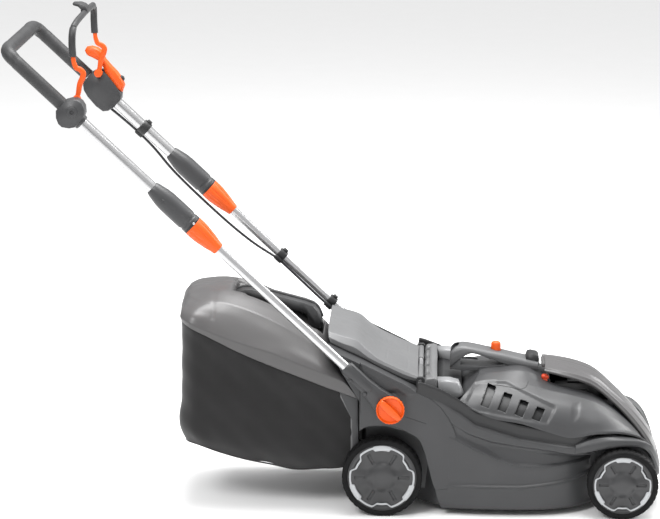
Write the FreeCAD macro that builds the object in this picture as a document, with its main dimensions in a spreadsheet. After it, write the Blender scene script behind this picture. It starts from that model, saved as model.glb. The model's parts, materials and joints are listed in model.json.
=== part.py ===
import FreeCAD, Part
import math
import os
import re
import Sketcher
from FreeCAD import Placement, Rotation, Vector

# Walk-behind battery lawn mower with a grass collector.
# Frame: +X forward, +Y to the operator's left, +Z up, millimetres, origin on the
# ground below the middle of the bounding box.  The handle parts are drawn in a frame
# of their own: local Z runs up the handle tubes, local X points up and forward at
# right angles to them, and the origin is the handle's fold pivot.

doc = FreeCAD.newDocument("lawn_mower")

# ---------------------------------------------------------------- driving dimensions
DIMENSIONS = {
    "wheelbase": 508, "rear_axle_x": 98, "rear_tyre_radius": 85, "front_tyre_radius": 75,
    "rear_tyre_width": 40, "front_tyre_width": 36, "wheel_outer_y": 192, "tyre_depth": 12,
    "stub_radius": 6, "running_gap": 0.05, "crank_arm": 30, "crank_arm_y": 140, "crank_arm_width": 7,
    "lever_arm": 56, "lever_y": 100, "lever_width": 6, "lever_pin_radius": 4, "link_width": 5,
    "axle_wall_y": 126, "bush_radius": 9, "wall": 3, "deck_centre_x": 362, "deck_half_length": 215,
    "deck_half_width": 182, "deck_rim_z": 15, "deck_ceiling_z": 82, "deck_shoulder_z": 112,
    "blade_radius": 170, "blade_low_z": 27, "blade_width": 48, "blade_thickness": 3.5,
    "motor_x": 365, "motor_radius": 68, "motor_bore": 44, "motor_low_z": 88, "motor_top_z": 186,
    "motor_shaft_radius": 6, "bearing_radius": 14, "bearing_width": 9, "tower_half_width": 172,
    "chute_half_width": 92, "flap_half_width": 124, "flap_pin_x": 177, "flap_pin_z": 284,
    "flap_pin_radius": 3, "handle_angle": 43.5, "pivot_x": 115, "pivot_z": 238,
    "pivot_bolt_radius": 4, "tube_y": 187, "lower_tube_radius": 10, "upper_tube_radius": 12.5,
    "tube_wall": 2, "foot_end": 130, "lower_tube_top": 700, "collar_low": 494, "collar_top": 567.5,
    "sleeve_low": 568, "sleeve_top": 682, "collar_radius": 22, "bracket_low": 883,
    "bracket_top": 934, "loop_bar": 1092, "loop_radius": 15, "loop_corner": 48,
    "bail_pivot_across": 24, "bail_pivot_up": 918, "bail_y": 166, "bail_rod_radius": 4,
    "knob_radius": 30, "knob_inner_y": 196.5, "knob_outer_y": 206, "collector_half_width": 155,
    "bag_half_width": 149, "battery_half_width": 50, "cable_radius": 2.8,
}
sheet = doc.addObject("Spreadsheet::Sheet", "Dim")
for row, (alias, value) in enumerate(DIMENSIONS.items(), start=1):
    sheet.set(f"A{row}", alias)
    sheet.set(f"B{row}", str(value))
    sheet.setAlias(f"B{row}", alias)
doc.recompute()

ALONG_Y = Rotation(Vector(1, 0, 0), -90)
ALONG_X = Rotation(Vector(0, 1, 0), 90)
UPRIGHT = Rotation()
SIDES = {"right": -1, "left": 1}
parts = []


def link(expression):
    """The expression with each dimension's name pointing at the sheet."""
    def cell(match):
        word = match.group(0)
        return "Dim." + word if word in DIMENSIONS else word
    return re.sub(r"[a-z_]{3,}", cell, str(expression))


def val(expression):
    """The number that an expression over the sheet gives."""
    return float(sheet.evalExpression(link(expression)))


def bind(item, **sizes):
    for name, expression in sizes.items():
        item.setExpression(name, link(expression))
    return item


def place(item, at=(0, 0, 0), rotation=UPRIGHT):
    """Put an object's origin at the point whose coordinates are expressions."""
    item.Placement = Placement(Vector(*[val(c) for c in at]), rotation)
    for axis, expression in zip("xyz", at):
        if not isinstance(expression, (int, float)):
            item.setExpression(f"Placement.Base.{axis}", link(expression))
    return item


def keep(item, label, placement=None):
    """Name a finished sub-part and, for a handle part, put it in the handle's frame."""
    item.Label = label
    if placement is not None:
        item.Placement = placement
    parts.append(item)
    return item


def cylinder(radius, length, at, rotation=UPRIGHT):
    item = doc.addObject("Part::Cylinder", "Cylinder")
    return place(bind(item, Radius=radius, Height=length), at, rotation)


def box(length, width, height, at, rotation=UPRIGHT):
    item = doc.addObject("Part::Box", "Box")
    return place(bind(item, Length=length, Width=width, Height=height), at, rotation)


def fuse(*items):
    item = doc.addObject("Part::MultiFuse", "Fusion")
    item.Shapes = list(items)
    return item


def cut(base, *tools):
    item = doc.addObject("Part::Cut", "Cut")
    item.Base = base
    item.Tool = tools[0] if len(tools) == 1 else fuse(*tools)
    return item


def common(first, second):
    item = doc.addObject("Part::Common", "Common")
    item.Base = first
    item.Tool = second
    return item


def solid(shape):
    item = doc.addObject("Part::Feature", "Solid")
    item.Shape = shape
    return item


def group(*items):
    """Separate solids that share one node."""
    item = doc.addObject("Part::Compound", "Group")
    item.Links = list(items)
    return item


def outline_sketch(body, plane, points):
    """A closed outline whose corners are bound to expressions."""
    sketch = body.newObject("Sketcher::SketchObject", "Outline")
    origin = {feature.Role: feature for feature in body.Origin.OriginFeatures}
    sketch.AttachmentSupport = [(origin[plane], "")]
    sketch.MapMode = "FlatFace"
    corners = [(val(a), val(b)) for a, b in points]
    count = len(corners)
    for index, (a, b) in enumerate(corners):
        end = corners[(index + 1) % count]
        sketch.addGeometry(Part.LineSegment(Vector(a, b, 0), Vector(end[0], end[1], 0)), False)
    for index in range(count):
        sketch.addConstraint(Sketcher.Constraint("Coincident", index, 2, (index + 1) % count, 1))
    for index, corner in enumerate(corners):
        for kind, number, source in zip(("DistanceX", "DistanceY"), corner, points[index]):
            if abs(number) < 1e-9:
                axis = -2 if kind == "DistanceX" else -1
                sketch.addConstraint(Sketcher.Constraint("PointOnObject", index, 1, axis))
                continue
            entry = sketch.addConstraint(Sketcher.Constraint(kind, -1, 1, index, 1, number))
            if not isinstance(source, (int, float)):
                sketch.setExpression(f"Constraints[{entry}]", link(source))
    return sketch


def turned(profile, at=(0, 0, 0), rotation=UPRIGHT):
    """A body of revolution about its own Z from (radius, height) points."""
    body = doc.addObject("PartDesign::Body", "Turned")
    sketch = outline_sketch(body, "XZ_Plane", profile)
    doc.recompute()
    feature = body.newObject("PartDesign::Revolution", "Revolution")
    feature.Profile = sketch
    feature.ReferenceAxis = (sketch, ["V_Axis"])
    feature.Angle = 360
    return place(body, at, rotation)


def slab(outline, low_y, high_y):
    """An XZ outline padded from one Y to another."""
    body = doc.addObject("PartDesign::Body", "Slab")
    sketch = outline_sketch(body, "XZ_Plane", outline)
    feature = body.newObject("PartDesign::Pad", "Pad")
    feature.Profile = sketch
    feature.Reversed = True
    feature.setExpression("Length", link(f"({high_y}) - ({low_y})"))
    return place(body, (0, low_y, 0))


def oval(half_length, half_width, height, power=2.6, points=32):
    """A level closed curve, fuller than an ellipse, round the cutting deck's centre."""
    corners = []
    for index in range(points):
        turn = 2 * math.pi * index / points
        across, along = math.sin(turn), math.cos(turn)
        x = val("deck_centre_x") + half_length * math.copysign(abs(along) ** (2 / power), along)
        y = half_width * math.copysign(abs(across) ** (2 / power), across)
        corners.append(Vector(x, y, height))
    curve = Part.BSplineCurve()
    curve.interpolate(corners, PeriodicFlag=True)
    return Part.Wire(curve.toShape())


def oval_solid(levels, inset=0):
    """A solid through level ovals given as (height, half length, half width)."""
    wires = [oval(length - inset, width - inset, height) for height, length, width in levels]
    return Part.makeLoft(wires, True, False)


def station_solid(stations, inset=0, lengthen=0, drop=0):
    """A mirrored solid through upright sections; each holds (half width, height) points."""
    wires = []
    last = len(stations) - 1
    for index, (x, section) in enumerate(stations):
        x += lengthen * (-1 if index == 0 else 1 if index == last else 0)
        low = section[0][1] - drop
        side = [(max(width - inset, 1), height - inset) for width, height in section]
        side[0] = (side[0][0], low)
        ring = [Vector(x, -width, height) for width, height in side]
        ring += [Vector(x, width, height) for width, height in reversed(side)]
        wires.append(Part.makePolygon(ring + ring[:1]))
    return Part.makeLoft(wires, True, True)


def rounded_path(points):
    """Straight runs joined by tangent arcs as large as their shorter run allows."""
    edges = []
    radii = []
    start = points[0]
    for before, corner, after in zip(points, points[1:], points[2:]):
        into, out = corner - before, after - corner
        half_turn = into.getAngle(out) / 2
        reach = 0.45 * min(into.Length, out.Length)
        radii.append(reach / math.tan(half_turn))
        enter = corner - Vector(into).normalize() * reach
        leave = corner + Vector(out).normalize() * reach
        bisector = (enter + leave) * 0.5 - corner
        sagitta = radii[-1] * (1 / math.cos(half_turn) - 1)
        middle = corner + bisector.normalize() * sagitta
        edges.append(Part.LineSegment(start, enter).toShape())
        edges.append(Part.Arc(enter, middle, leave).toShape())
        start = leave
    edges.append(Part.LineSegment(start, points[-1]).toShape())
    return Part.Wire(edges), radii


def swept(path, radius):
    """A round bar along a path."""
    start = path.Edges[0]
    tangent = start.tangentAt(start.FirstParameter)
    ring = Part.Wire(Part.makeCircle(radius, start.valueAt(start.FirstParameter), tangent))
    return path.makePipeShell([ring], True, True)


# ---------------------------------------------------------------- wheels
def wheel_profiles(tyre_radius, width):
    """Rim, tyre and hub-cap profiles about the axle, from the inner face outwards."""
    seat = f"{tyre_radius} - tyre_depth"
    rim = [("stub_radius + running_gap", 0), (15, 0), (15, 10), (f"{seat} - 6", 12),
           (f"{seat} - 6", 2), (seat, 2), (seat, f"{width} - 3"), (f"{seat} - 3", f"{width} - 3"),
           (f"{seat} - 6", 18), (15, 16), (15, 28), ("stub_radius + running_gap", 28)]
    tyre = [(seat, 2), (f"{tyre_radius} - 3", 0), (tyre_radius, 5), (tyre_radius, f"{width} - 5"),
            (f"{tyre_radius} - 3", width), (seat, f"{width} - 3")]
    cap_edge = f"{seat} - 4.2"
    cap = [(0, f"{width} - 3"), (20, f"{width} - 3"), (f"{cap_edge} - 6", f"{width} - 6"),
           (cap_edge, f"{width} - 6"), (cap_edge, f"{width} - 1.5"), (f"{cap_edge} - 5", f"{width}"),
           (26, f"{width} + 0.5"), (14, f"{width} + 3"), (0, f"{width} + 3")]
    return {"wheel": rim, "tyre": tyre, "hubcap": cap}


AXLES = {
    "rear": ("rear_axle_x", "rear_tyre_radius", "rear_tyre_width"),
    "front": ("rear_axle_x + wheelbase", "front_tyre_radius", "front_tyre_width"),
}
for end, (axle_x, tyre_radius, width) in AXLES.items():
    for side, sign in SIDES.items():
        outward = Rotation(Vector(1, 0, 0), -90 * sign)
        for kind, profile in wheel_profiles(tyre_radius, width).items():
            at = (axle_x, f"{sign} * (wheel_outer_y - {width})", tyre_radius)
            keep(turned(profile, at, outward), f"{kind}_{end}_{side}")

# ---------------------------------------------------------------- cranked axles and link
# Each cross shaft turns in the deck; its arms carry the wheels up and to the rear when
# the deck is at its lowest, and swing a quarter turn to lift it.
SHAFT_OFFSET = "crank_arm * sqrt(0.5)"
LEVER_OFFSET = "lever_arm * sqrt(0.5)"


def arm(from_x, from_z, to_x, to_z, low_y, width, radius):
    """A flat arm with round ends between two axes."""
    start = Vector(val(from_x), val(low_y), val(from_z))
    end = Vector(val(to_x), val(low_y), val(to_z))
    run = end - start
    angle = math.degrees(math.atan2(run.z, run.x))
    bar = box(run.Length, 2 * radius, width, (0, 0, 0))
    turn = Rotation(Vector(0, 1, 0), -angle) * Rotation(Vector(1, 0, 0), -90)
    bar.Placement = Placement(start, turn) * Placement(Vector(0, -radius, 0), Rotation())
    centres = ((from_x, from_z), (to_x, to_z))
    ends = [cylinder(radius, width, (x, low_y, z), ALONG_Y) for x, z in centres]
    return [bar] + ends


for end, (axle_x, tyre_radius, width) in AXLES.items():
    shaft_x, shaft_z = f"{axle_x} + {SHAFT_OFFSET}", f"{tyre_radius} - {SHAFT_OFFSET}"
    tip_x, tip_z = f"{shaft_x} + {LEVER_OFFSET}", f"{shaft_z} + {LEVER_OFFSET}"
    pieces = [cylinder("stub_radius", "2 * crank_arm_y", (shaft_x, "-crank_arm_y", shaft_z), ALONG_Y)]
    for sign in SIDES.values():
        arm_y = "crank_arm_y" if sign > 0 else "-crank_arm_y - crank_arm_width"
        pieces += arm(shaft_x, shaft_z, axle_x, tyre_radius, arm_y, "crank_arm_width", 10)
        stub_y = "crank_arm_y" if sign > 0 else "-wheel_outer_y + 8"
        pieces.append(cylinder("stub_radius", "wheel_outer_y - 8 - crank_arm_y",
                               (axle_x, stub_y, tyre_radius), ALONG_Y))
    pieces += arm(shaft_x, shaft_z, tip_x, tip_z, "lever_y", "lever_width", 9)
    pin_at = (tip_x, "lever_y + lever_width", tip_z)
    pieces.append(cylinder("lever_pin_radius", "link_width + 3", pin_at, ALONG_Y))
    keep(fuse(*pieces), f"{end}_axle")

link_y = "lever_y + lever_width + 0.3"
rear_tip = (f"rear_axle_x + {SHAFT_OFFSET} + {LEVER_OFFSET}",
            f"rear_tyre_radius - {SHAFT_OFFSET} + {LEVER_OFFSET}")
front_tip = (f"rear_axle_x + wheelbase + {SHAFT_OFFSET} + {LEVER_OFFSET}",
             f"front_tyre_radius - {SHAFT_OFFSET} + {LEVER_OFFSET}")
bar = fuse(*arm(*rear_tip, *front_tip, link_y, "link_width", 6.5))
rear_eye = cylinder("lever_pin_radius + running_gap", 20, (rear_tip[0], 100, rear_tip[1]), ALONG_Y)
open_eye = cylinder("lever_pin_radius + 0.6", 20, (front_tip[0], 100, front_tip[1]), ALONG_Y)
keep(cut(bar, rear_eye, open_eye), "link_rod")

bushes = []
for end, (axle_x, tyre_radius, width) in AXLES.items():
    for low_y in ("axle_wall_y - 2", "-axle_wall_y - wall - 2"):
        at = (f"{axle_x} + {SHAFT_OFFSET}", low_y, f"{tyre_radius} - {SHAFT_OFFSET}")
        ring = cylinder("bush_radius", "wall + 4", at, ALONG_Y)
        bushes.append(cut(ring, cylinder("stub_radius + running_gap", "wall + 4", at, ALONG_Y)))
keep(group(*bushes), "axle_bushes")

# ---------------------------------------------------------------- deck shell
half_length, half_width = val("deck_half_length"), val("deck_half_width")
wall = val("wall")
rim_z, ceiling_z, shoulder_z = val("deck_rim_z"), val("deck_ceiling_z"), val("deck_shoulder_z")
skirt_levels = [(rim_z, half_length, half_width), (shoulder_z, half_length - 6, half_width - 6)]
shoulder_levels = [(shoulder_z - 3, half_length - 8, half_width - 8),
                   (236, half_length - 12, half_width - 30)]
inner_shoulder = [(shoulder_z - 4, half_length - 8, half_width - 8),
                  (237, half_length - 12, half_width - 30)]
inner_skirt = [(height, length, width) for height, length, width in skirt_levels]
inner_skirt[0] = (rim_z - 1, half_length, half_width)

# The deck's upper edge falls towards the nose, and the hood sits on it.
hood_seat = solid(Part.makeBox(700, 500, 300, Vector(0, -250, 0), Vector(0, 0, 1)))
hood_seat.Placement = Placement(Vector(205, 0, 219), Rotation(Vector(0, 1, 0), 13.2))
hood_seat.Label = "hood_seat_space"
skirt = cut(solid(oval_solid(skirt_levels)), solid(oval_solid(inner_skirt, wall)))
shoulder = cut(solid(oval_solid(shoulder_levels)), solid(oval_solid(inner_shoulder, wall)))
ceiling = common(solid(oval_solid(skirt_levels)),
                 box(700, 500, "wall", (0, -250, "deck_ceiling_z")))

TOWER = [(49, 183), (49, 248), (-18, 362), (50, 330), (150, 279), (172, 268), (180, 276), (200, 266),
         (250, 238), (250, 62), (208, 62), (183, 152), (171, 172), (143, 185), (105, 194), (65, 193)]
TOWER_HOLLOW = [(53, 30), (53, 249), (-9, 353), (50, 325), (150, 274), (172, 263), (198, 262),
                (246, 235), (246, 30)]
tower = cut(slab(TOWER, "-tower_half_width", "tower_half_width"),
            slab(TOWER_HOLLOW, "-tower_half_width + wall", "tower_half_width - wall"))
# The arch over each rear wheel is closed by a roof and by an inner wall that holds the axle.
ARCH_ROOF = [(49, 183), (65, 193), (105, 194), (143, 185), (171, 172), (183, 152), (208, 62), (211, 63),
             (186, 154), (173, 175), (144, 188), (105, 197), (65, 196), (49, 187)]
AXLE_WALL = [(62, 44), (62, 196), (105, 197), (144, 188), (173, 175), (206, 150), (214, 44)]
FRONT_WALL = [(540, 143), (540, 100), (585, 100), (600, 40), (655, 40), (672, 70), (672, 143)]
webs = []
for low_y, high_y in (("axle_wall_y", "axle_wall_y + wall"), ("-axle_wall_y - wall", "-axle_wall_y")):
    webs.append(slab(AXLE_WALL, low_y, high_y))
    webs.append(slab(FRONT_WALL, low_y, high_y))
webs.append(slab(ARCH_ROOF, "axle_wall_y", "tower_half_width"))
webs.append(slab(ARCH_ROOF, "-tower_half_width", "-axle_wall_y"))
nose_plate = box(115, "2 * axle_wall_y", "wall", (540, "-axle_wall_y", 140))
nose_wall = box("wall", 160, 73, (652, -80, 70))
lugs = [slab([(168, 262), (168, 288), (172, 292), (182, 292), (186, 288), (186, 262)], low_y, high_y)
        for low_y, high_y in (("flap_half_width + 4", "flap_half_width + 12"),
                              ("-flap_half_width - 12", "-flap_half_width - 4"))]

shell = fuse(skirt, ceiling, cut(fuse(shoulder, tower), hood_seat), nose_plate, nose_wall, *webs, *lugs)
link_slot = box(700, 14, 46, (60, "lever_y + 3", 86))
openings = [
    link_slot,
    cylinder("bearing_radius + 6", 60, ("motor_x", 0, 60)),
    slab([(140, 62), (140, 120), (232, 120), (232, 62)], "-chute_half_width", "chute_half_width"),
    slab([(-40, 112), (-40, 420), (60, 420), (60, 112)], "-chute_half_width - 22", "chute_half_width + 22"),
    slab([(183, 262), (183, 300), (215, 300), (215, 262)], -90, 90),
    cylinder("pivot_bolt_radius + 0.2", 400, ("pivot_x", -200, "pivot_z"), ALONG_Y),
    cylinder("flap_pin_radius", 400, ("flap_pin_x", -200, "flap_pin_z"), ALONG_Y),
]
for end, (axle_x, tyre_radius, width) in AXLES.items():
    at = (f"{axle_x} + {SHAFT_OFFSET}", -200, f"{tyre_radius} - {SHAFT_OFFSET}")
    openings.append(cylinder("bush_radius", 400, at, ALONG_Y))
keep(cut(shell, *openings), "deck_shell")

# The duct that carries the clippings from the cutting chamber to the collector.
DUCT = [(150, 60), (128, 80), (52, 118), (52, 316), (150, 250), (238, 81.7), (224, 60)]
DUCT_HOLLOW = [(151, 64), (129, 84), (40, 125), (40, 320), (147, 248), (234, 82), (225, 50), (150, 50)]
duct = cut(slab(DUCT, "-chute_half_width + 0.2", "chute_half_width - 0.2"),
           slab(DUCT_HOLLOW, "-chute_half_width + wall", "chute_half_width - wall"))
keep(duct, "discharge_duct")

# ---------------------------------------------------------------- hood shell
# Sections from the base up: base edge, belt line, shoulder, top edge.
HOOD = [
    (240, [(140, 211), (148, 222), (118, 243), (60, 248)]),
    (300, [(156, 199), (162, 208), (118, 278), (60, 284)]),
    (400, [(166, 176), (170, 198), (104, 264), (58, 288)]),
    (500, [(168, 153), (169, 178), (100, 244), (62, 262)]),
    (570, [(160, 148), (160, 178), (100, 220), (64, 234)]),
    (625, [(146, 148), (147, 168), (98, 174), (64, 180)]),
    (670, [(122, 92), (124, 112), (90, 115), (52, 118)]),
    (696, [(86, 52), (90, 60), (62, 68), (40, 72)]),
]
hood_outer = solid(station_solid(HOOD))
hood_inner = solid(station_solid(HOOD, inset=wall, lengthen=-wall, drop=6))
bay = slab([(454, 140), (454, 320), (594, 320), (594, 140)],
           "-battery_half_width - 5", "battery_half_width + 5")
vents = []
for sign in SIDES.values():
    for step in range(4):
        x = 309 + 36 * step
        low = 235 - 9 * step
        slot = [(x, low), (x + 18, low + 34), (x + 34, low + 29), (x + 16, low - 5)]
        vents.append(slab(slot, min(95 * sign, 175 * sign), max(95 * sign, 175 * sign)))
key_well = box(20, 18, 70, (434, -61, 238))
keep(cut(hood_outer, hood_inner, bay, key_well, *vents), "hood_shell")

# ---------------------------------------------------------------- carry handle and height button
GRAB = [(239, 290), (243, 318), (252, 328), (267, 331), (300, 325), (338, 316), (391, 305), (431, 298),
        (431, 284), (398, 280), (300, 276), (262, 276), (246, 281)]
GRAB_HOLE = [(262, 288), (264, 314), (272, 318), (310, 308), (326, 301), (352, 299), (364, 297), (360, 291),
             (340, 287)]
grab = cut(slab(GRAB, -27, 27), slab(GRAB_HOLE, -30, 30),
           cylinder(11.5, 40, (339, 0, 304.5)))
keep(grab, "carry_handle")
keep(turned([(0, 0), (11, 0), (11, 22), (8, 26), (0, 26)], (339, 0, 309)), "height_button")

# ---------------------------------------------------------------- motor and blade
can = turned([("motor_shaft_radius + 4", "motor_low_z"), ("motor_radius", "motor_low_z"),
              ("motor_radius", "motor_top_z"), ("motor_shaft_radius + 4", "motor_top_z"),
              ("motor_shaft_radius + 4", "motor_top_z - 3"), ("bearing_radius", "motor_top_z - 3"),
              ("bearing_radius", "motor_top_z - 3 - bearing_width"), ("motor_bore", "motor_top_z - 14"),
              ("motor_bore", "motor_low_z + 14"), ("bearing_radius", "motor_low_z + 3 + bearing_width"),
              ("bearing_radius", "motor_low_z + 3"), ("motor_shaft_radius + 4", "motor_low_z + 3")],
             ("motor_x", 0, 0))
keep(can, "motor_can")
races = []
for low_z in ("motor_low_z + 3", "motor_top_z - 3 - bearing_width"):
    races.append(turned([("motor_shaft_radius + running_gap", 0), ("bearing_radius", 0),
                         ("bearing_radius", "bearing_width"),
                         ("motor_shaft_radius + running_gap", "bearing_width")], ("motor_x", 0, low_z)))
keep(group(*races), "motor_bearings")
shaft_low = "blade_low_z + blade_thickness + 4"
shaft_length = f"motor_top_z + 18 - ({shaft_low})"
keep(cylinder("motor_shaft_radius", shaft_length, ("motor_x", 0, shaft_low)), "motor_shaft")
keep(turned([("motor_shaft_radius", "motor_low_z + 18"), ("motor_bore - 1", "motor_low_z + 18"),
             ("motor_bore - 1", "motor_top_z - 18"), ("motor_shaft_radius", "motor_top_z - 18")],
            ("motor_x", 0, 0)), "motor_rotor")
hub = turned([("motor_shaft_radius", 0), (15, 0), (15, 3), (52, 3), (52, 5), (15, 5), (15, 14),
              ("motor_shaft_radius", 14)], ("motor_x", 0, "motor_top_z + 3"))
vanes = []
for index in range(9):
    vane = box(36, 2, 9, (0, 0, 0))
    hub_placement = Placement(Vector(val("motor_x"), 0, val("motor_top_z") + 7.5),
                              Rotation(Vector(0, 0, 1), 40 * index))
    vane.Placement = hub_placement * Placement(Vector(13, -1, 0), Rotation())
    vanes.append(vane)
keep(fuse(hub, *vanes), "cooling_fan")
keep(turned([("motor_shaft_radius", 0), (26, 0), (26, 6), (15, 10), (15, 36),
             ("motor_shaft_radius", 36)],
            ("motor_x", 0, shaft_low)), "blade_carrier")
blade_blank = box("2 * blade_radius", "blade_width", "blade_thickness",
                  ("motor_x - blade_radius", "-blade_width / 2", "blade_low_z"))
round_ends = cylinder("blade_radius", "blade_thickness", ("motor_x", 0, "blade_low_z"))
lifts = []
for sign in (1, -1):
    lift = box(62, 16, 3.5, (0, 0, 0))
    half_turn = Rotation(Vector(0, 0, 1), 90 - 90 * sign)
    tilt = Placement(Vector(96, 20, 0), Rotation(Vector(1, 0, 0), 38))
    lift.Placement = Placement(Vector(val("motor_x"), 0, val("blade_low_z") + 0.4), half_turn) * tilt
    lifts.append(lift)
blade = cut(fuse(common(blade_blank, round_ends), *lifts),
            cylinder(5, 20, ("motor_x", 0, "blade_low_z - 8")))
keep(blade, "blade")
keep(turned([(0, -9), (9, -9), (9, -3), (13, -2), (13, 0), (5, 0), (5, "blade_thickness + 4"),
             (0, "blade_thickness + 4")], ("motor_x", 0, "blade_low_z")), "blade_bolt")
keep(box(36, 108, 62, (257, -54, 132)), "motor_controller")

# ---------------------------------------------------------------- battery bay
tray_outer = box(132, "2 * battery_half_width + 9", 66, (458, "-battery_half_width - 4.5", 156))
tray_inner = box(126, "2 * battery_half_width + 3", 66, (461, "-battery_half_width - 1.5", 159))
keep(cut(tray_outer, tray_inner), "battery_tray")
pack = slab([(463, 160), (463, 232), (470, 238), (540, 238), (582, 208), (585, 200), (585, 160)],
            "-battery_half_width", "battery_half_width")
grip_slots = [box(40, 8, 10, (500, y, 230)) for y in (-40, 32)]
keep(cut(pack, *grip_slots), "battery")
key = fuse(box(10, 12, 30, (439, -58, 242)), box(16, 14, 9, (436, -59, 270)))
keep(key, "safety_key")

# The lid lies a finger's height above the hood and reaches down to the nose.
LID_TOP = [(440, 290), (446, 297), (475, 294), (513, 285), (546, 270), (590, 235), (645, 180), (676, 134),
           (690, 106)]
LID_UNDER = [(686, 102), (671, 129), (641, 175), (586, 230), (543, 265), (511, 279.5), (474, 288.5)]
SIDE_UNDER = [(682, 100), (667, 127), (637, 173), (582, 228), (540, 262), (508, 276), (470, 284), (446, 286)]
lid_skin = slab(LID_TOP + LID_UNDER, -62, 62)
lid_sides = [slab(LID_TOP + SIDE_UNDER, low_y, high_y) for low_y, high_y in ((62, 70), (-70, -62))]
lid_barrel = cylinder(4, 60, (441, -30, 291), ALONG_Y)
keep(fuse(lid_skin, lid_barrel, *lid_sides), "battery_lid")

# ---------------------------------------------------------------- rear flap
FLAP = [(168, 279), (166, 288), (84, 328), (66, 343), (44, 364), (-20, 386), (-17, 366), (40, 337), (70, 322),
        (150, 282)]
barrel = cylinder(6, "2 * flap_half_width", ("flap_pin_x", "-flap_half_width", "flap_pin_z"), ALONG_Y)
neck = slab([(160, 281), (160, 288), (177, 290), (177, 279)], "-flap_half_width", "flap_half_width")
spring_gap = box(18, 52, 18, ("flap_pin_x - 9", -26, "flap_pin_z - 9"))
FLAP_HOLLOW = [(150, 276), (146, 292), (83, 323.5), (64, 339), (43, 359.5), (-16, 381), (-14, 358), (40, 330),
               (70, 312)]
flap_hollow = slab(FLAP_HOLLOW, "-flap_half_width + wall", "flap_half_width - wall")
flap_bore = cylinder("flap_pin_radius + running_gap", 400, ("flap_pin_x", -200, "flap_pin_z"), ALONG_Y)
flap_panel = cut(slab(FLAP, "-flap_half_width", "flap_half_width"), flap_hollow)
keep(cut(fuse(flap_panel, barrel, neck), spring_gap, flap_bore), "rear_flap")
flap_pin_at = ("flap_pin_x", "-flap_half_width - 12", "flap_pin_z")
keep(cylinder("flap_pin_radius", "2 * flap_half_width + 24", flap_pin_at, ALONG_Y), "flap_pin")
coil_at = ("flap_pin_x", -24, "flap_pin_z")
coil_bore = cylinder("flap_pin_radius + 0.2", 48, coil_at, ALONG_Y)
keep(cut(cylinder(5.5, 48, coil_at, ALONG_Y), coil_bore), "flap_spring")

# ---------------------------------------------------------------- grass collector
LID = [
    (-331, [(138, 407), (144, 420), (104, 434), (40, 444)]),
    (-300, [(154, 394), (155, 410), (112, 438), (40, 456)]),
    (-240, [(154, 366), (155, 386), (114, 438), (40, 460)]),
    (-136, [(154, 317), (155, 350), (114, 396), (40, 418)]),
    (-48, [(154, 283), (155, 318), (116, 356), (40, 374)]),
    (38, [(154, 252), (155, 266), (124, 274), (40, 277)]),
]
front_cut = slab([(-34, 500), (-34, 384), (40, 251), (60, 240), (60, 500)], -200, 200)
recess = slab([(-222, 480), (-206, 424), (-186, 408), (-62, 366), (-30, 360), (-30, 480)], -46, 46)
recess_floor = slab([(-226, 480), (-209, 422), (-187, 405), (-62, 363), (-30, 357), (-30, 480)], -49, 49)
lid_hollow = cut(solid(station_solid(LID, inset=2.5, lengthen=-2.5, drop=4)), recess_floor)
keep(cut(solid(station_solid(LID)), lid_hollow, recess, front_cut), "collector_lid")

BAG = [
    (-331, [(136, 156), (147, 172), (147, 330), (136, 406.7)]),
    (-274, [(142, 128), (149, 146), (149, 320), (149, 381)]),
    (-136, [(142, 94), (149, 112), (149, 260), (149, 316.7)]),
    (-40, [(142, 84), (147, 104), (147, 220), (149, 280.5)]),
    (26, [(136, 92), (143, 112), (143, 200), (146, 256)]),
]
bag_cut = slab([(8, 270), (8, 262), (30, 205), (30, 80), (60, 80), (60, 270)], -200, 200)
RISES = (2.5, 2.5, 8, 8)
bag_inner = []
for x, section in BAG:
    bag_inner.append((x, [(half - 2.5, z + rise) for (half, z), rise in zip(section, RISES)]))
bag_inner[0] = (BAG[0][0] + 2.5, bag_inner[0][1])
bag_inner[-1] = (BAG[-1][0] + 20, bag_inner[-1][1])
keep(cut(solid(station_solid(BAG)), solid(station_solid(bag_inner)), bag_cut), "collector_bag")

FRAME_SIDE = [(8.3, 262), (8.3, 250), (30.3, 205), (30.3, 92), (41, 92), (41, 250)]
frame_blank = slab(FRAME_SIDE, -148, 148)
mouth = slab([(0, 112), (0, 240), (60, 240), (60, 112)], -118, 118)
frame_relief = slab([(0, 240), (0, 270), (31, 270), (31, 240)], -140, 140)
keep(cut(frame_blank, mouth, frame_relief), "collector_frame")

GRIP = [(-232, 432), (-222, 446), (-196, 453), (-62, 420), (-42, 406), (-36, 386), (-35, 361), (-56, 366),
        (-57, 390), (-68, 399), (-190, 428), (-206, 420), (-214, 424)]
keep(slab(GRIP, -19, 19), "collector_grip")

# ---------------------------------------------------------------- folding handle
handle_turn = Rotation(Vector(0, 1, 0), val("handle_angle") - 90)
HANDLE = Placement(Vector(val("pivot_x"), 0, val("pivot_z")), handle_turn)


def both(make):
    """The same handle piece on each tube, as one node."""
    return group(*[make(sign) for sign in SIDES.values()])


def hollow_tube(radius, low, high):
    def make(sign):
        at = (0, f"{sign} * tube_y", low)
        length = f"({high}) - ({low})"
        return cut(cylinder(radius, length, at), cylinder(f"{radius} - tube_wall", length, at))
    return make


keep(both(hollow_tube("lower_tube_radius", 62, "lower_tube_top")), "lower_tubes", HANDLE)
keep(both(hollow_tube("upper_tube_radius", "sleeve_low + 8", "bracket_top")), "upper_tubes", HANDLE)


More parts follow.
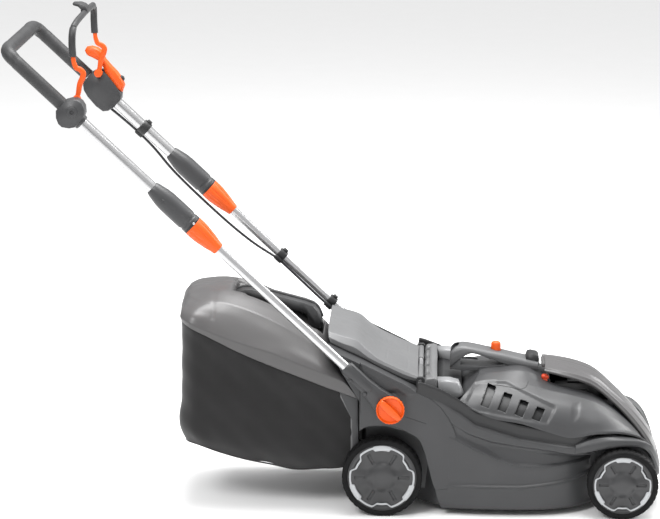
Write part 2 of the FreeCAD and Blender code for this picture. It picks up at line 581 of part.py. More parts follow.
def foot(sign):
    """The moulded foot that turns on the deck's bolt and holds a lower tube."""
    low_y, high_y = (174.5, 196) if sign > 0 else (-196, -174.5)
    side = slab([(-26, -14), (-14, -26), (14, -26), (26, -14), (26, 20), (13.5, 90), (13.5, "foot_end"),
                 (-13.5, "foot_end"), (-13.5, 90), (-26, 20)], low_y, high_y)
    socket = cylinder(13, "foot_end - 60", (0, f"{sign} * tube_y", 60))
    bore = cylinder("lower_tube_radius", 400, (0, f"{sign} * tube_y", 62))
    eye = cylinder("pivot_bolt_radius + running_gap", 400, (0, -200, 0), ALONG_Y)
    return cut(fuse(side, socket), bore, eye)


keep(both(foot), "handle_feet", HANDLE)


def pivot_bolt(sign):
    turn = Rotation(Vector(1, 0, 0), -90 * sign)
    head = turned([(0, 159), (9, 159), (9, 166), (0, 166)], ("pivot_x", 0, "pivot_z"), turn)
    return fuse(head, cylinder("pivot_bolt_radius", 38, ("pivot_x", f"{sign} * 166", "pivot_z"), turn))


keep(both(pivot_bolt), "pivot_bolts")

for side, sign in SIDES.items():
    turn = Rotation(Vector(1, 0, 0), -90 * sign)
    knob = turned([("pivot_bolt_radius + running_gap", "knob_inner_y"), ("knob_radius", "knob_inner_y"),
                   ("knob_radius", "knob_outer_y - 2"), ("knob_radius - 2", "knob_outer_y"),
                   (0, "knob_outer_y"), (0, 204.3), ("pivot_bolt_radius + running_gap", 204.3)],
                  (0, 0, 0), turn)
    rib_y = "knob_outer_y - 1" if sign > 0 else "-knob_outer_y - 3"
    rib = slab([(-6, -27), (6, -27), (6, 27), (-6, 27)], rib_y, f"{rib_y} + 4")
    keep(fuse(knob, rib), f"fold_knob_{side}", HANDLE)


def sleeve(sign):
    profile = [("upper_tube_radius", "sleeve_low"), ("collar_radius", "sleeve_low"), ("collar_radius", 652),
               (15, "sleeve_top"), ("upper_tube_radius", "sleeve_top")]
    return turned(profile, (0, f"{sign} * tube_y", 0))


keep(both(sleeve), "tube_sleeves", HANDLE)
for side, sign in SIDES.items():
    profile = [("lower_tube_radius + 0.3", "collar_low"), (13, "collar_low"), (17, 512),
               ("collar_radius", 545), ("collar_radius", "collar_top"),
               ("lower_tube_radius + 0.3", "collar_top")]
    keep(turned(profile, (0, f"{sign} * tube_y", 0)), f"twist_collar_{side}", HANDLE)

bar_up, half_span, corner = val("loop_bar"), val("tube_y"), val("loop_corner")
low_end = val("bracket_top")
sweep_point = corner * (1 - math.sqrt(0.5))
loop_edges = [
    Part.LineSegment(Vector(0, -half_span, low_end), Vector(0, -half_span, bar_up - corner)),
    Part.Arc(Vector(0, -half_span, bar_up - corner),
             Vector(0, -half_span + sweep_point, bar_up - sweep_point),
             Vector(0, -half_span + corner, bar_up)),
    Part.LineSegment(Vector(0, -half_span + corner, bar_up), Vector(0, half_span - corner, bar_up)),
    Part.Arc(Vector(0, half_span - corner, bar_up),
             Vector(0, half_span - sweep_point, bar_up - sweep_point),
             Vector(0, half_span, bar_up - corner)),
    Part.LineSegment(Vector(0, half_span, bar_up - corner), Vector(0, half_span, low_end)),
]
loop_path = Part.Wire([edge.toShape() for edge in loop_edges])
keep(solid(swept(loop_path, val("loop_radius"))), "grip_loop", HANDLE)

BRACKET = [(22, "bracket_top - 3"), (34, 908), (19, 884), (11, "bracket_low"), (-19, "bracket_low + 2"),
           (-32, 908), (-16, "bracket_top"), (16, "bracket_top")]
SWITCH_BOX = [(11, "bracket_top - 6"), (34, 915), (24, 845), (-12, 842), (-35, 850), (-30, 914), (-20, 928)]
pin_hole_at = ("bail_pivot_across", -200, "bail_pivot_up")
pin_hole = cylinder("bail_rod_radius + running_gap", 400, pin_hole_at, ALONG_Y)
right_tube = cylinder("upper_tube_radius", 400, (0, "-tube_y", 700))
left_tube = cylinder("upper_tube_radius", 400, (0, "tube_y", 700))
keep(cut(slab(BRACKET, -204, -173), right_tube, pin_hole), "bail_bracket", HANDLE)
cable_gland = cylinder("cable_radius + 0.5", 60, (-20, "tube_y", 789.5))
keep(cut(slab(SWITCH_BOX, 173, 205), left_tube, pin_hole, cable_gland), "switch_box", HANDLE)
CAP = [(58, 954), (50, 963), (36, 973), (34, 965), (38, 940), (36, 916.5), (24.5, 858), (24.5, 846),
       (40, 858), (48, 880), (51, 905), (53, 928)]
button_well = box(30, 14, 14, (30, "tube_y - 7", 864))
keep(cut(slab(CAP, 176, 202), button_well, pin_hole), "switch_cap", HANDLE)
button = box(14, 12, 12, (34, "tube_y - 6", 865))
keep(group(button), "start_button", HANDLE)

# ---------------------------------------------------------------- operator bail
turn_back = HANDLE.inverse()


def bail_point(x, y, z):
    """A point of the mower's frame written in the handle's frame."""
    return turn_back.multVec(Vector(x, y, z))


pivot = HANDLE.multVec(Vector(val("bail_pivot_across"), 0, val("bail_pivot_up")))
bail_y, rod = val("bail_y"), val("bail_rod_radius")
legs = []
for sign in SIDES.values():
    side_y = sign * bail_y
    route = [Vector(pivot.x, side_y, pivot.z), Vector(-522, side_y, 920), Vector(-521, side_y, 940),
             Vector(-541, side_y, 962), Vector(-541, side_y, 985)]
    path = rounded_path([bail_point(*p) for p in route])[0]
    start = bail_point(pivot.x, sign * (bail_y - 4), pivot.z)
    pin = Part.makeCylinder(rod, 22, start, Vector(0, sign, 0))
    legs.append(solid(swept(path, rod).fuse(pin)))
keep(group(*legs), "bail_legs", HANDLE)
grip_route = [Vector(-541, -bail_y, 985.2), Vector(-541, -bail_y, 1012), Vector(-540, -150, 1034),
              Vector(-537, -118, 1042), Vector(-536, 0, 1045.5), Vector(-537, 118, 1042),
              Vector(-540, 150, 1034), Vector(-541, bail_y, 1012), Vector(-541, bail_y, 985.2)]
grip_bar = swept(rounded_path([bail_point(*p) for p in grip_route])[0], 7)
tongue_side = [Vector(-531, -9, 1045), Vector(-534, -9, 1058), Vector(-545, -9, 1066), Vector(-560, -9, 1064),
               Vector(-548, -9, 1060), Vector(-542, -9, 1052), Vector(-542, -9, 1045)]
tongue_ring = [bail_point(*p) for p in tongue_side]
tongue = Part.Face(Part.makePolygon(tongue_ring + tongue_ring[:1])).extrude(Vector(0, 18, 0))
keep(solid(grip_bar.fuse(tongue)), "bail_grip", HANDLE)

# ---------------------------------------------------------------- cable and its clips
CABLE_ROUTE = [
    (-20, 187, 849), (-17, 187, 806), (-16, 187, 762), (-18, 187, 712), (-26, 187, 662),
    (-28, 187.5, 610), (-28, 187, 560), (-24, 184, 510), (-17, 180, 460), (-11, 177.3, 405),
    (-8.4, 176.6, 347), (-8.6, 176, 290), (-9.2, 175.6, 230), (-8.4, 176.2, 178), (-7.9, 176.7, 132),
]
cable_path, bends = rounded_path([Vector(*point) for point in CABLE_ROUTE])
cable_solid = swept(cable_path, val("cable_radius"))
cable_volume = math.pi * val("cable_radius") ** 2 * cable_path.Length
print(f"cable length {cable_path.Length:.0f} smallest bend {min(bends):.0f}",
      f"volume ratio {cable_solid.Volume / cable_volume:.4f}")
keep(solid(cable_solid), "control_cable", HANDLE)


def cable_clip(tube_radius, along, cable_at):
    """A snap ring round the tube with an eye for the cable."""
    ring = cylinder(f"{tube_radius} + 4", 20, (0, "tube_y", along - 10))
    eye = cylinder("cable_radius + 3", 20, (cable_at[0], cable_at[1], along - 10))
    bore = cylinder(tube_radius, 20, (0, "tube_y", along - 10))
    hole = cylinder("cable_radius + 0.8", 20, (cable_at[0], cable_at[1], along - 10))
    return cut(fuse(ring, eye), bore, hole)


keep(cable_clip("upper_tube_radius", 762, (-16.4, 187)), "upper_cable_clip", HANDLE)
keep(group(cable_clip("lower_tube_radius", 347, (-8.5, 176.6)),
           cable_clip("lower_tube_radius", 194, (-8.6, 176))), "lower_cable_clips", HANDLE)

# ---------------------------------------------------------------- test and export
doc.recompute()
for item in doc.Objects:
    if "Invalid" in item.State or "Error" in item.State:
        raise RuntimeError(f"{item.Name} ({item.Label}) failed: {item.State}")
os.makedirs("parts", exist_ok=True)
for item in parts:
    shape = item.Shape
    if shape.isNull() or not shape.isValid() or not shape.Solids:
        raise RuntimeError(f"{item.Label} has no valid solid")
    shape.exportStep(f"parts/{item.Label}.step")
whole = Part.makeCompound([item.Shape for item in parts]).BoundBox
print(len(parts), "parts in a box of", whole)
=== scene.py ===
import json
import math

import bmesh
import bpy
import numpy as np
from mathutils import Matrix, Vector


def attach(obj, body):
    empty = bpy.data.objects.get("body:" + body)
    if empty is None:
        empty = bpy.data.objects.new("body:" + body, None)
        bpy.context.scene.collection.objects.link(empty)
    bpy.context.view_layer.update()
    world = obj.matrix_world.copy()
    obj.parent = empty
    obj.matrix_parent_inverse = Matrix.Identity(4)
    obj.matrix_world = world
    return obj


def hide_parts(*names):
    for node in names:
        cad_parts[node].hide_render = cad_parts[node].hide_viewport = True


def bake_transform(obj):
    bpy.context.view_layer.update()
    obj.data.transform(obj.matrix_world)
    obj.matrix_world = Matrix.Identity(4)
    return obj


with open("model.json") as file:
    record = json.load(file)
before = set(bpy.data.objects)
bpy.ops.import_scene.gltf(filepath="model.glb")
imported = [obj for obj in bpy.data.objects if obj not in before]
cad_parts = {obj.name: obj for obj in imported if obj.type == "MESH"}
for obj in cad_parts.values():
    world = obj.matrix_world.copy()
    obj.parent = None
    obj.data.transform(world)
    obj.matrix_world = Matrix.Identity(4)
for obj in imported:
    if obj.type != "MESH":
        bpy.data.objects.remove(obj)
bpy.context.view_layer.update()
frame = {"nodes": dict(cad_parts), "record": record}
nodes = frame["nodes"]
scene = bpy.context.scene
MM = 0.001
SIDES = {"right": -1, "left": 1}

# ------------------------------------------------------------------ camera, light, floor
CAMERA_AZIMUTH, CAMERA_ELEVATION, CAMERA_DISTANCE = math.radians(2.46), math.radians(13.7), 5.34
AIM = Vector((-0.020, 0, 0.5132))
back = Vector((math.sin(CAMERA_AZIMUTH) * math.cos(CAMERA_ELEVATION),
               -math.cos(CAMERA_AZIMUTH) * math.cos(CAMERA_ELEVATION), math.sin(CAMERA_ELEVATION)))
camera_data = bpy.data.cameras.new("camera")
camera_data.sensor_width = 36
camera_data.lens = 135.4909
camera = bpy.data.objects.new("camera", camera_data)
camera.location = AIM + back * CAMERA_DISTANCE
camera.rotation_euler = back.to_track_quat("Z", "Y").to_euler()
scene.collection.objects.link(camera)
scene.camera = camera


def area_light(name, at, aim, size, power):
    """A square soft box at one point, turned to another."""
    data = bpy.data.lights.new(name, "AREA")
    data.size = size
    data.energy = power
    lamp = bpy.data.objects.new(name, data)
    lamp.location = at
    lamp.rotation_euler = (Vector(at) - Vector(aim)).to_track_quat("Z", "Y").to_euler()
    scene.collection.objects.link(lamp)


area_light("key", (-1.6, -2.6, 3.2), (0, 0, 0.4), 1.5, 100)
area_light("top", (0.3, 0.4, 3.4), (0.1, 0, 0.2), 2.0, 190)
area_light("rim", (2.6, 1.6, 1.8), (0.2, 0, 0.3), 1.4, 60)
area_light("front_fill", (1.2, -3.4, 0.9), (0.1, 0, 0.3), 1.6, 5)
scene.view_settings.view_transform = "Standard"

# The room is bright overhead and dim at the horizon behind the mower, so that round metal shows dark edges.
world = bpy.data.worlds.new("studio")
world.use_nodes = True
sky = world.node_tree.nodes
direction = sky.new("ShaderNodeTexCoord")
height = sky.new("ShaderNodeSeparateXYZ")
world.node_tree.links.new(direction.outputs["Generated"], height.inputs["Vector"])
glow = sky.new("ShaderNodeValToRGB")
world.node_tree.links.new(height.outputs["Z"], glow.inputs["Fac"])
glow.color_ramp.elements[0].position = 0.0
glow.color_ramp.elements[0].color = (0.25, 0.25, 0.255, 1)
glow.color_ramp.elements[1].position = 0.55
glow.color_ramp.elements[1].color = (1, 1, 1, 1)
world.node_tree.links.new(glow.outputs["Color"], sky["Background"].inputs["Color"])
sky["Background"].inputs["Strength"].default_value = 1.0
scene.world = world


# ------------------------------------------------------------------ materials
class Paint:
    """A procedural material, built node by node in object space."""

    def __init__(self, name, roughness, metallic=0.0, specular=0.5):
        self.material = bpy.data.materials.new(name)
        self.material.use_nodes = True
        self.tree = self.material.node_tree
        self.shader = self.tree.nodes["Principled BSDF"]
        self.shader.inputs["Roughness"].default_value = roughness
        self.shader.inputs["Metallic"].default_value = metallic
        self.shader.inputs["Specular IOR Level"].default_value = specular
        self.place = self.tree.nodes.new("ShaderNodeTexCoord").outputs["Object"]

    def node(self, kind, **inputs):
        made = self.tree.nodes.new(kind)
        for key, value in inputs.items():
            socket = made.inputs[key.replace("_", " ")]
            if isinstance(value, bpy.types.NodeSocket):
                self.tree.links.new(value, socket)
            else:
                socket.default_value = value
        return made

    def noise(self, scale, detail=3.0, where=None):
        return self.node("ShaderNodeTexNoise", Vector=where or self.place, Scale=scale,
                         Detail=detail).outputs["Fac"]

    def ramp(self, factor, stops):
        made = self.node("ShaderNodeValToRGB", Fac=factor)
        band = made.color_ramp
        while len(band.elements) < len(stops):
            band.elements.new(0.5)
        for element, (position, color) in zip(band.elements, stops):
            element.position = position
            element.color = (*color, 1) if len(color) == 3 else color
        return made.outputs["Color"]

    def math(self, operation, first, second):
        made = self.tree.nodes.new("ShaderNodeMath")
        made.operation = operation
        for socket, value in zip(made.inputs, (first, second)):
            if isinstance(value, bpy.types.NodeSocket):
                self.tree.links.new(value, socket)
            else:
                socket.default_value = value
        return made.outputs["Value"]

    def join(self, output, name):
        self.tree.links.new(output, self.shader.inputs[name])

    def bump(self, height, strength, distance):
        made = self.node("ShaderNodeBump", Strength=strength, Distance=distance, Height=height)
        self.join(made.outputs["Normal"], "Normal")


def shade(color, factor):
    return tuple(channel * factor for channel in color)


def plastic(name, color, roughness=0.42, grain=900, depth=0.25, cloud=0.10):
    """Moulded plastic: a fine etched grain, slight clouding, and paler rubbed edges."""
    paint = Paint(name, roughness, specular=0.4)
    clouds = paint.noise(9, 4)
    edges = paint.node("ShaderNodeNewGeometry").outputs["Pointiness"]
    rubbed = paint.math("ADD", paint.math("MULTIPLY", clouds, 0.6), paint.math("MULTIPLY", edges, 0.4))
    paint.join(paint.ramp(rubbed, [(0.3, shade(color, 1 - cloud)), (0.55, color),
                                   (0.8, shade(color, 1 + 2 * cloud))]),
               "Base Color")
    dull = paint.node("ShaderNodeMapRange", Value=paint.noise(60, 2), To_Min=roughness - 0.05,
                      To_Max=roughness + 0.08)
    paint.join(dull.outputs["Result"], "Roughness")
    paint.bump(paint.noise(grain, 2), depth, 0.0002)
    return paint.material


def brushed(name, color, roughness=0.3, stretch=(1, 1, 0.02)):
    """Drawn metal tube, its fine lines running along the handle."""
    paint = Paint(name, roughness, metallic=1.0)
    along = paint.node("ShaderNodeMapping", Vector=paint.place, Rotation=(0, math.radians(46.5), 0))
    lines = paint.node("ShaderNodeMapping", Vector=along.outputs["Vector"], Scale=stretch)
    streak = paint.noise(900, 3, lines.outputs["Vector"])
    paint.join(paint.ramp(streak, [(0.3, shade(color, 0.86)), (0.7, shade(color, 1.06))]), "Base Color")
    dull = paint.node("ShaderNodeMapRange", Value=streak, To_Min=roughness - 0.06, To_Max=roughness + 0.12)
    paint.join(dull.outputs["Result"], "Roughness")
    paint.bump(streak, 0.12, 0.0002)
    return paint.material


def plated(name, color, roughness=0.35):
    """Zinc-plated or cast metal with a cloudy sheen."""
    paint = Paint(name, roughness, metallic=1.0)
    clouds = paint.noise(55, 5)
    paint.join(paint.ramp(clouds, [(0.3, shade(color, 0.75)), (0.7, color)]), "Base Color")
    dull = paint.node("ShaderNodeMapRange", Value=clouds, To_Min=roughness - 0.1, To_Max=roughness + 0.15)
    paint.join(dull.outputs["Result"], "Roughness")
    paint.bump(paint.noise(500, 3), 0.15, 0.0003)
    return paint.material


def rubber(name, color, roughness=0.62, grain=700, depth=0.4, specular=0.35):
    """Moulded rubber with dust in its grain."""
    paint = Paint(name, roughness, specular=specular)
    dust = paint.noise(30, 5)
    paint.join(paint.ramp(dust, [(0.35, color), (0.75, shade(color, 1.7))]), "Base Color")
    paint.bump(paint.noise(grain, 3), depth, 0.0004)
    return paint.material


def woven(name, color, threads=2600):
    """Plain-weave polyester: crossing threads, a little sheen and faint fading."""
    paint = Paint(name, 0.82, specular=0.25)
    paint.shader.inputs["Sheen Weight"].default_value = 0.35
    paint.shader.inputs["Sheen Roughness"].default_value = 0.5
    warp = paint.node("ShaderNodeTexWave", Vector=paint.place, Scale=threads / 20)
    warp.bands_direction = "X"
    weft = paint.node("ShaderNodeTexWave", Vector=paint.place, Scale=threads / 20)
    weft.bands_direction = "Z"
    weave = paint.math("MULTIPLY", warp.outputs["Fac"], weft.outputs["Fac"])
    fade = paint.math("ADD", paint.math("MULTIPLY", paint.noise(7, 5), 0.7),
                      paint.math("MULTIPLY", weave, 0.3))
    paint.join(paint.ramp(fade, [(0.3, shade(color, 0.8)), (0.75, shade(color, 1.35))]), "Base Color")
    paint.bump(weave, 0.5, 0.0004)
    return paint.material


MATERIALS = {
    "body_plastic": plastic("body_plastic", (0.033, 0.0335, 0.035), 0.45),
    "hood_plastic": plastic("hood_plastic", (0.037, 0.0375, 0.039), 0.4),
    "light_plastic": plastic("light_plastic", (0.115, 0.116, 0.118), 0.4),
    "lid_plastic": plastic("lid_plastic", (0.072, 0.070, 0.0705), 0.34),
    "dark_plastic": plastic("dark_plastic", (0.010, 0.0103, 0.011), 0.45),
    "orange_plastic": plastic("orange_plastic", (0.64, 0.075, 0.0), 0.46, cloud=0.05),
    "red_plastic": plastic("red_plastic", (0.5, 0.045, 0.012), 0.35),
    "pale_plastic": plastic("pale_plastic", (0.6, 0.62, 0.64), 0.2),
    "grip_rubber": rubber("grip_rubber", (0.022, 0.0222, 0.023), 0.5),
    "aluminium_tube": brushed("aluminium_tube", (0.5, 0.5, 0.505), 0.24),
    "steel": plated("steel", (0.6, 0.6, 0.61)),
    "motor_metal": plated("motor_metal", (0.45, 0.46, 0.48), 0.45),
    "bush_plastic": plastic("bush_plastic", (0.65, 0.64, 0.6)),
    "bag_fabric": woven("bag_fabric", (0.0075, 0.0072, 0.0075)),
    "cable_rubber": rubber("cable_rubber", (0.016, 0.016, 0.018), 0.45),
    "wheel_plastic": plastic("wheel_plastic", (0.016, 0.0163, 0.017)),
    "hubcap_plastic": plastic("hubcap_plastic", (0.03, 0.0303, 0.0315), 0.36),
    "tyre_rubber": rubber("tyre_rubber", (0.005, 0.005, 0.0052), 0.7, specular=0.12),
}
TRIM_SILVER = plastic("trim_silver", (0.36, 0.37, 0.38), 0.32)
# Painted shade: the waist band under the hood's lip is coloured darker than the deck plastic to stand in for
# the shadow there.
WAIST_SHADE_GREY = plastic("waist_painted_shade", (0.015, 0.0152, 0.016), 0.45)
GRAB_GREY = plastic("grab_grey", (0.082, 0.083, 0.085), 0.42)
GEM_GREY = plastic("gem_grey", (0.20, 0.202, 0.206), 0.34)
SLEEVE_GREY = plastic("sleeve_grey", (0.036, 0.0364, 0.038), 0.42)
for entry in frame["record"]["subparts"]:
    node = nodes[entry["node"]]
    node.data.materials.clear()
    node.data.materials.append(MATERIALS[entry["material_slot"]])


# ------------------------------------------------------------------ mesh tools, sizes in millimetres
def make_object(name, corners, faces):
    mesh = bpy.data.meshes.new(name)
    mesh.from_pydata([Vector(corner) * MM for corner in corners], [], faces)
    mesh.validate()
    mesh.shade_smooth()
    obj = bpy.data.objects.new(name, mesh)
    scene.collection.objects.link(obj)
    return obj


def clean(obj, interior=None):
    """Weld a mesh's doubled corners and turn its faces outwards."""
    shape = bmesh.new()
    shape.from_mesh(obj.data)
    bmesh.ops.remove_doubles(shape, verts=shape.verts, dist=0.02 * MM)
    bmesh.ops.dissolve_degenerate(shape, edges=shape.edges, dist=0.01 * MM)
    bmesh.ops.recalc_face_normals(shape, faces=shape.faces)
    if interior is not None:
        heart = Vector(interior) * MM
        outward = sum(face.normal.dot(face.calc_center_median() - heart) * face.calc_area()
                      for face in shape.faces)
        if outward < 0:
            bmesh.ops.reverse_faces(shape, faces=shape.faces)
    shape.to_mesh(obj.data)
    shape.free()
    return obj


def add_bevel(obj, width, segments=3, angle=30):
    bevel = obj.modifiers.new("edges", "BEVEL")
    bevel.width = width * MM
    bevel.segments = segments
    bevel.limit_method = "ANGLE"
    bevel.angle_limit = math.radians(angle)
    bevel.use_clamp_overlap = True
    return obj


def bake(obj):
    """Apply an object's modifiers."""
    bpy.context.view_layer.update()
    mesh = bpy.data.meshes.new_from_object(obj.evaluated_get(bpy.context.evaluated_depsgraph_get()))
    mesh.name = obj.name
    obj.modifiers.clear()
    obj.data = mesh
    return obj


def carve(obj, *tools):
    """Cut tools out of a solid mesh, then drop them."""
    for tool in tools:
        cutter = obj.modifiers.new("carve", "BOOLEAN")
        cutter.operation = "DIFFERENCE"
        cutter.object = tool
    bake(obj)
    for tool in tools:
        bpy.data.objects.remove(tool)
    return obj


def join(name, *pieces):
    """One object from several meshes."""
    corners, faces = [], []
    for piece in pieces:
        bake(piece)
        start = len(corners)
        corners += [tuple(vertex.co / MM) for vertex in piece.data.vertices]
        faces += [tuple(start + index for index in face.vertices) for face in piece.data.polygons]
        bpy.data.objects.remove(piece)
    return make_object(name, corners, faces)


def finish_piece(obj, body, slot, replaced=(), paint=None):
    """Give a piece its finish and its body, and hide the CAD nodes that it stands for."""
    obj.data.materials.clear()
    obj.data.materials.append(paint or MATERIALS[slot])
    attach(obj, body)
    if replaced:
        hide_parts(*replaced)
    return obj


def spline(points, count):
    """Evenly spaced points on a smooth curve through given ones."""
    p = np.array(points, float)
    chord = np.concatenate([[0], np.cumsum(np.linalg.norm(np.diff(p, axis=0), axis=1) + 1e-6)])
    slope = np.gradient(p, chord, axis=0)
    t = np.linspace(0, chord[-1], count)
    k = np.clip(np.searchsorted(chord, t, "right") - 1, 0, len(p) - 2)
    span = (chord[k + 1] - chord[k])[:, None]
    u = ((t - chord[k])[:, None]) / span
    return ((2 * u**3 - 3 * u**2 + 1) * p[k] + (u**3 - 2 * u**2 + u) * span * slope[k]
            + (3 * u**2 - 2 * u**3) * p[k + 1] + (u**3 - u**2) * span * slope[k + 1])


def patch(strips, columns, rows=6):
    """A grid of points over strips of feature lines; each strip is smooth and meets the next in an edge."""
    grid = []
    for strip in strips:
        lines = np.array([spline(line, columns) for line in strip])
        count = rows * (len(strip) - 1) + 1
        if len(strip) == 2:
            across = np.linspace(lines[0], lines[1], count)
        else:
            across = np.array([spline(lines[:, c], count) for c in range(columns)]).transpose(1, 0, 2)
        grid += list(across[1 if grid else 0:])
    return np.array(grid)


def grid_normals(grid):
    along = np.gradient(grid, axis=1)
    across = np.gradient(grid, axis=0)
    normal = np.cross(along, across)
    normal /= np.linalg.norm(normal, axis=2, keepdims=True) + 1e-9
    return normal * np.sign((normal * (grid - [0, 0, 120])).sum(axis=2).mean())


def smooth_step(value):
    value = np.clip(value, 0, 1)
    return value * value * (3 - 2 * value)


def line_distance(line, x, z):
    """How far points lie from a line drawn in side view."""
    best = np.full(x.shape, 1e9)
    for (ax, az), (bx, bz) in zip(line, line[1:]):
        dx, dz = bx - ax, bz - az
        t = np.clip(((x - ax) * dx + (z - az) * dz) / (dx * dx + dz * dz), 0, 1)
        best = np.minimum(best, np.hypot(x - ax - t * dx, z - az - t * dz))
    return best


def inside(outline, x, z):
    """Depth inside a closed side-view outline, negative outside it."""
    hit = np.zeros(x.shape, bool)
    ring = outline + outline[:1]
    for (ax, az), (bx, bz) in zip(ring, ring[1:]):
        if az != bz:
            crosses = ((az > z) != (bz > z)) & (x < (bx - ax) * (z - az) / (bz - az) + ax)
            hit ^= crosses
    return np.where(hit, 1, -1) * line_distance(ring, x, z)


def shell(name, grid, thickness=2.5, mirror=None, heart=(0, 0, 120)):
    """A closed wall from a grid of outside points, mirrored by rows, columns or as a copy."""
    flip = np.array([1, -1, 1])
    if mirror == "rows":
        grid = np.concatenate([grid, grid[-2::-1] * flip], axis=0)
    if mirror == "columns":
        grid = np.concatenate([grid, grid[:, -2::-1] * flip], axis=1)
    copies = [grid, grid * flip] if mirror == "copy" else [grid]
    pieces = []
    for number, points in enumerate(copies):
        rows, columns = points.shape[:2]
        faces = [(r * columns + c, r * columns + c + 1, (r + 1) * columns + c + 1, (r + 1) * columns + c)
                 for r in range(rows - 1) for c in range(columns - 1)]
        side = make_object(f"{name}_{number}", points.reshape(-1, 3), faces)
        middle = points.reshape(-1, 3).mean(axis=0)
        clean(side, (middle[0], 0 if mirror == "copy" else heart[1], heart[2]))
        if thickness:
            wall = side.modifiers.new("wall", "SOLIDIFY")
            wall.thickness = thickness * MM
            wall.offset = -1
            wall.use_rim = True
        pieces.append(side)
    return join(name, *pieces)


def gasket(name, obj, line, body, radius=0.9, sides=(-1, 1), step=5, slot="dark_plastic"):
    """A thin dark seal let into a surface along a side-view line."""
    bpy.context.view_layer.update()
    pieces = []
    length = sum(math.dist(a, b) for a, b in zip(line, line[1:]))
    for side in sides:
        route = []
        for x, z in spline(line, max(4, int(length / step))):
            start = Vector((x, side * 400, z)) * MM
            hit, spot, normal, face = obj.ray_cast(start, Vector((0, -side, 0)))
            if hit:
                route.append(spot / MM)
        if len(route) > 3:
            pieces.append(rod(f"{name}_{side}", route, radius))
    return finish_piece(join(name, *pieces), body, slot)


def prism(name, outline, low_y, high_y, bevel=1.5, segments=3):
    """A side-view outline with rounded edges between two Y values."""
    count = len(outline)
    corners = [(x, low_y, z) for x, z in outline] + [(x, high_y, z) for x, z in outline]
    faces = [tuple(range(count)), tuple(range(2 * count - 1, count - 1, -1))]
    faces += [(i, i + count, (i + 1) % count + count, (i + 1) % count) for i in range(count)]
    obj = clean(make_object(name, corners, faces))
    return add_bevel(obj, bevel, segments) if bevel else obj


def crowned(name, outline, low_y, high_y, crown, rings=5):
    """A side-view outline whose two faces swell towards their middle."""
    edge = np.array(outline, float)
    middle = edge.mean(axis=0)
    corners, count = [], len(outline)
    half = (high_y - low_y) / 2
    centre = (high_y + low_y) / 2
    levels = [-math.cos(math.pi * k / (2 * rings)) for k in range(2 * rings + 1)]
    for level in levels:
        shrink = 1 - crown * (abs(level) ** 5)
        for point in edge:
            x, z = middle + (point - middle) * shrink
            corners.append((x, centre + half * level, z))
    faces = [tuple(range(count)), tuple(range(len(corners) - 1, len(corners) - count - 1, -1))]
    for k in range(len(levels) - 1):
        for i in range(count):
            a, b = k * count + i, k * count + (i + 1) % count
            faces.append((a, b, b + count, a + count))
    return clean(make_object(name, corners, faces))


def turned(name, profile, origin, axis, segments=72, wave=None, bevel=0.6):
    """A body of revolution from (radius, distance along the axis) points."""
    axis = Vector(axis).normalized()
    up = Vector((0, 0, 1)) if abs(axis.z) < 0.9 else Vector((1, 0, 0))
    side = axis.cross(up).normalized()
    up = side.cross(axis)
    corners = []
    for index in range(segments):
        angle = 2 * math.pi * index / segments
        for radius, along in profile:
            reach = radius + (wave(angle, radius, along) if wave else 0)
            spoke = side * math.cos(angle) + up * math.sin(angle)
            corners.append(Vector(origin) + axis * along + spoke * reach)
    size = len(profile)
    closed = profile[0] == profile[-1]
    faces = []
    for index in range(segments):
        step = ((index + 1) % segments) * size
        faces += [(index * size + k, step + k, step + k + 1, index * size + k + 1) for k in range(size - 1)]
        if not closed and profile[0][0] > 0.01 and profile[-1][0] > 0.01:
            faces.append((index * size + size - 1, step + size - 1, step, index * size))
    obj = clean(make_object(name, corners, faces))
    return add_bevel(obj, bevel, 2, 25) if bevel else obj


def rod(name, points, radius, order=3, resolution=8):
    """A round bar along one smooth curve."""
    curve = bpy.data.curves.new(name, "CURVE")
    curve.dimensions = "3D"
    curve.bevel_depth = radius * MM
    curve.bevel_resolution = 5
    curve.resolution_u = resolution
    curve.use_fill_caps = True
    line = curve.splines.new("NURBS")
    line.points.add(len(points) - 1)
    for point, spot in zip(line.points, points):
        point.co = (*(Vector(spot) * MM), 1)
    line.order_u = order
    line.use_endpoint_u = True
    source = bpy.data.objects.new(name + "_line", curve)
    scene.collection.objects.link(source)
    bpy.context.view_layer.update()
    mesh = bpy.data.meshes.new_from_object(source.evaluated_get(bpy.context.evaluated_depsgraph_get()))
    bpy.data.objects.remove(source)
    mesh.name = name
    mesh.shade_smooth()
    obj = bpy.data.objects.new(name, mesh)
    scene.collection.objects.link(obj)
    return obj


# The handle has a frame of its own: across it, sideways, and up its tubes from the fold pivot.
HANDLE_ANGLE = math.radians(43.5)
PIVOT = Vector((115, 0, 238))
ALONG = Vector((-math.cos(HANDLE_ANGLE), 0, math.sin(HANDLE_ANGLE)))
ACROSS = Vector((math.sin(HANDLE_ANGLE), 0, math.cos(HANDLE_ANGLE)))
TUBE_Y = 187


def on_handle(across, y, along):
    return PIVOT + ACROSS * across + ALONG * along + Vector((0, y, 0))


def handle_outline(outline):
    """A handle-frame (across, along) outline in side view."""
    return [(point.x, point.z) for point in (on_handle(a, 0, s) for a, s in outline)]


# ------------------------------------------------------------------ wheels
BLOCK_ANGLES = (90, 210, 330)
DIP_ANGLES = (30, 150, 270)


def near_angle(angle, centres, spread, soft):
    """1 within a spread of any of the centres, in degrees, falling to 0 over the soft edge."""
    gap = np.min([np.abs((angle - centre + 180) % 360 - 180) for centre in centres], axis=0)
    return smooth_step((spread + soft - gap) / soft)


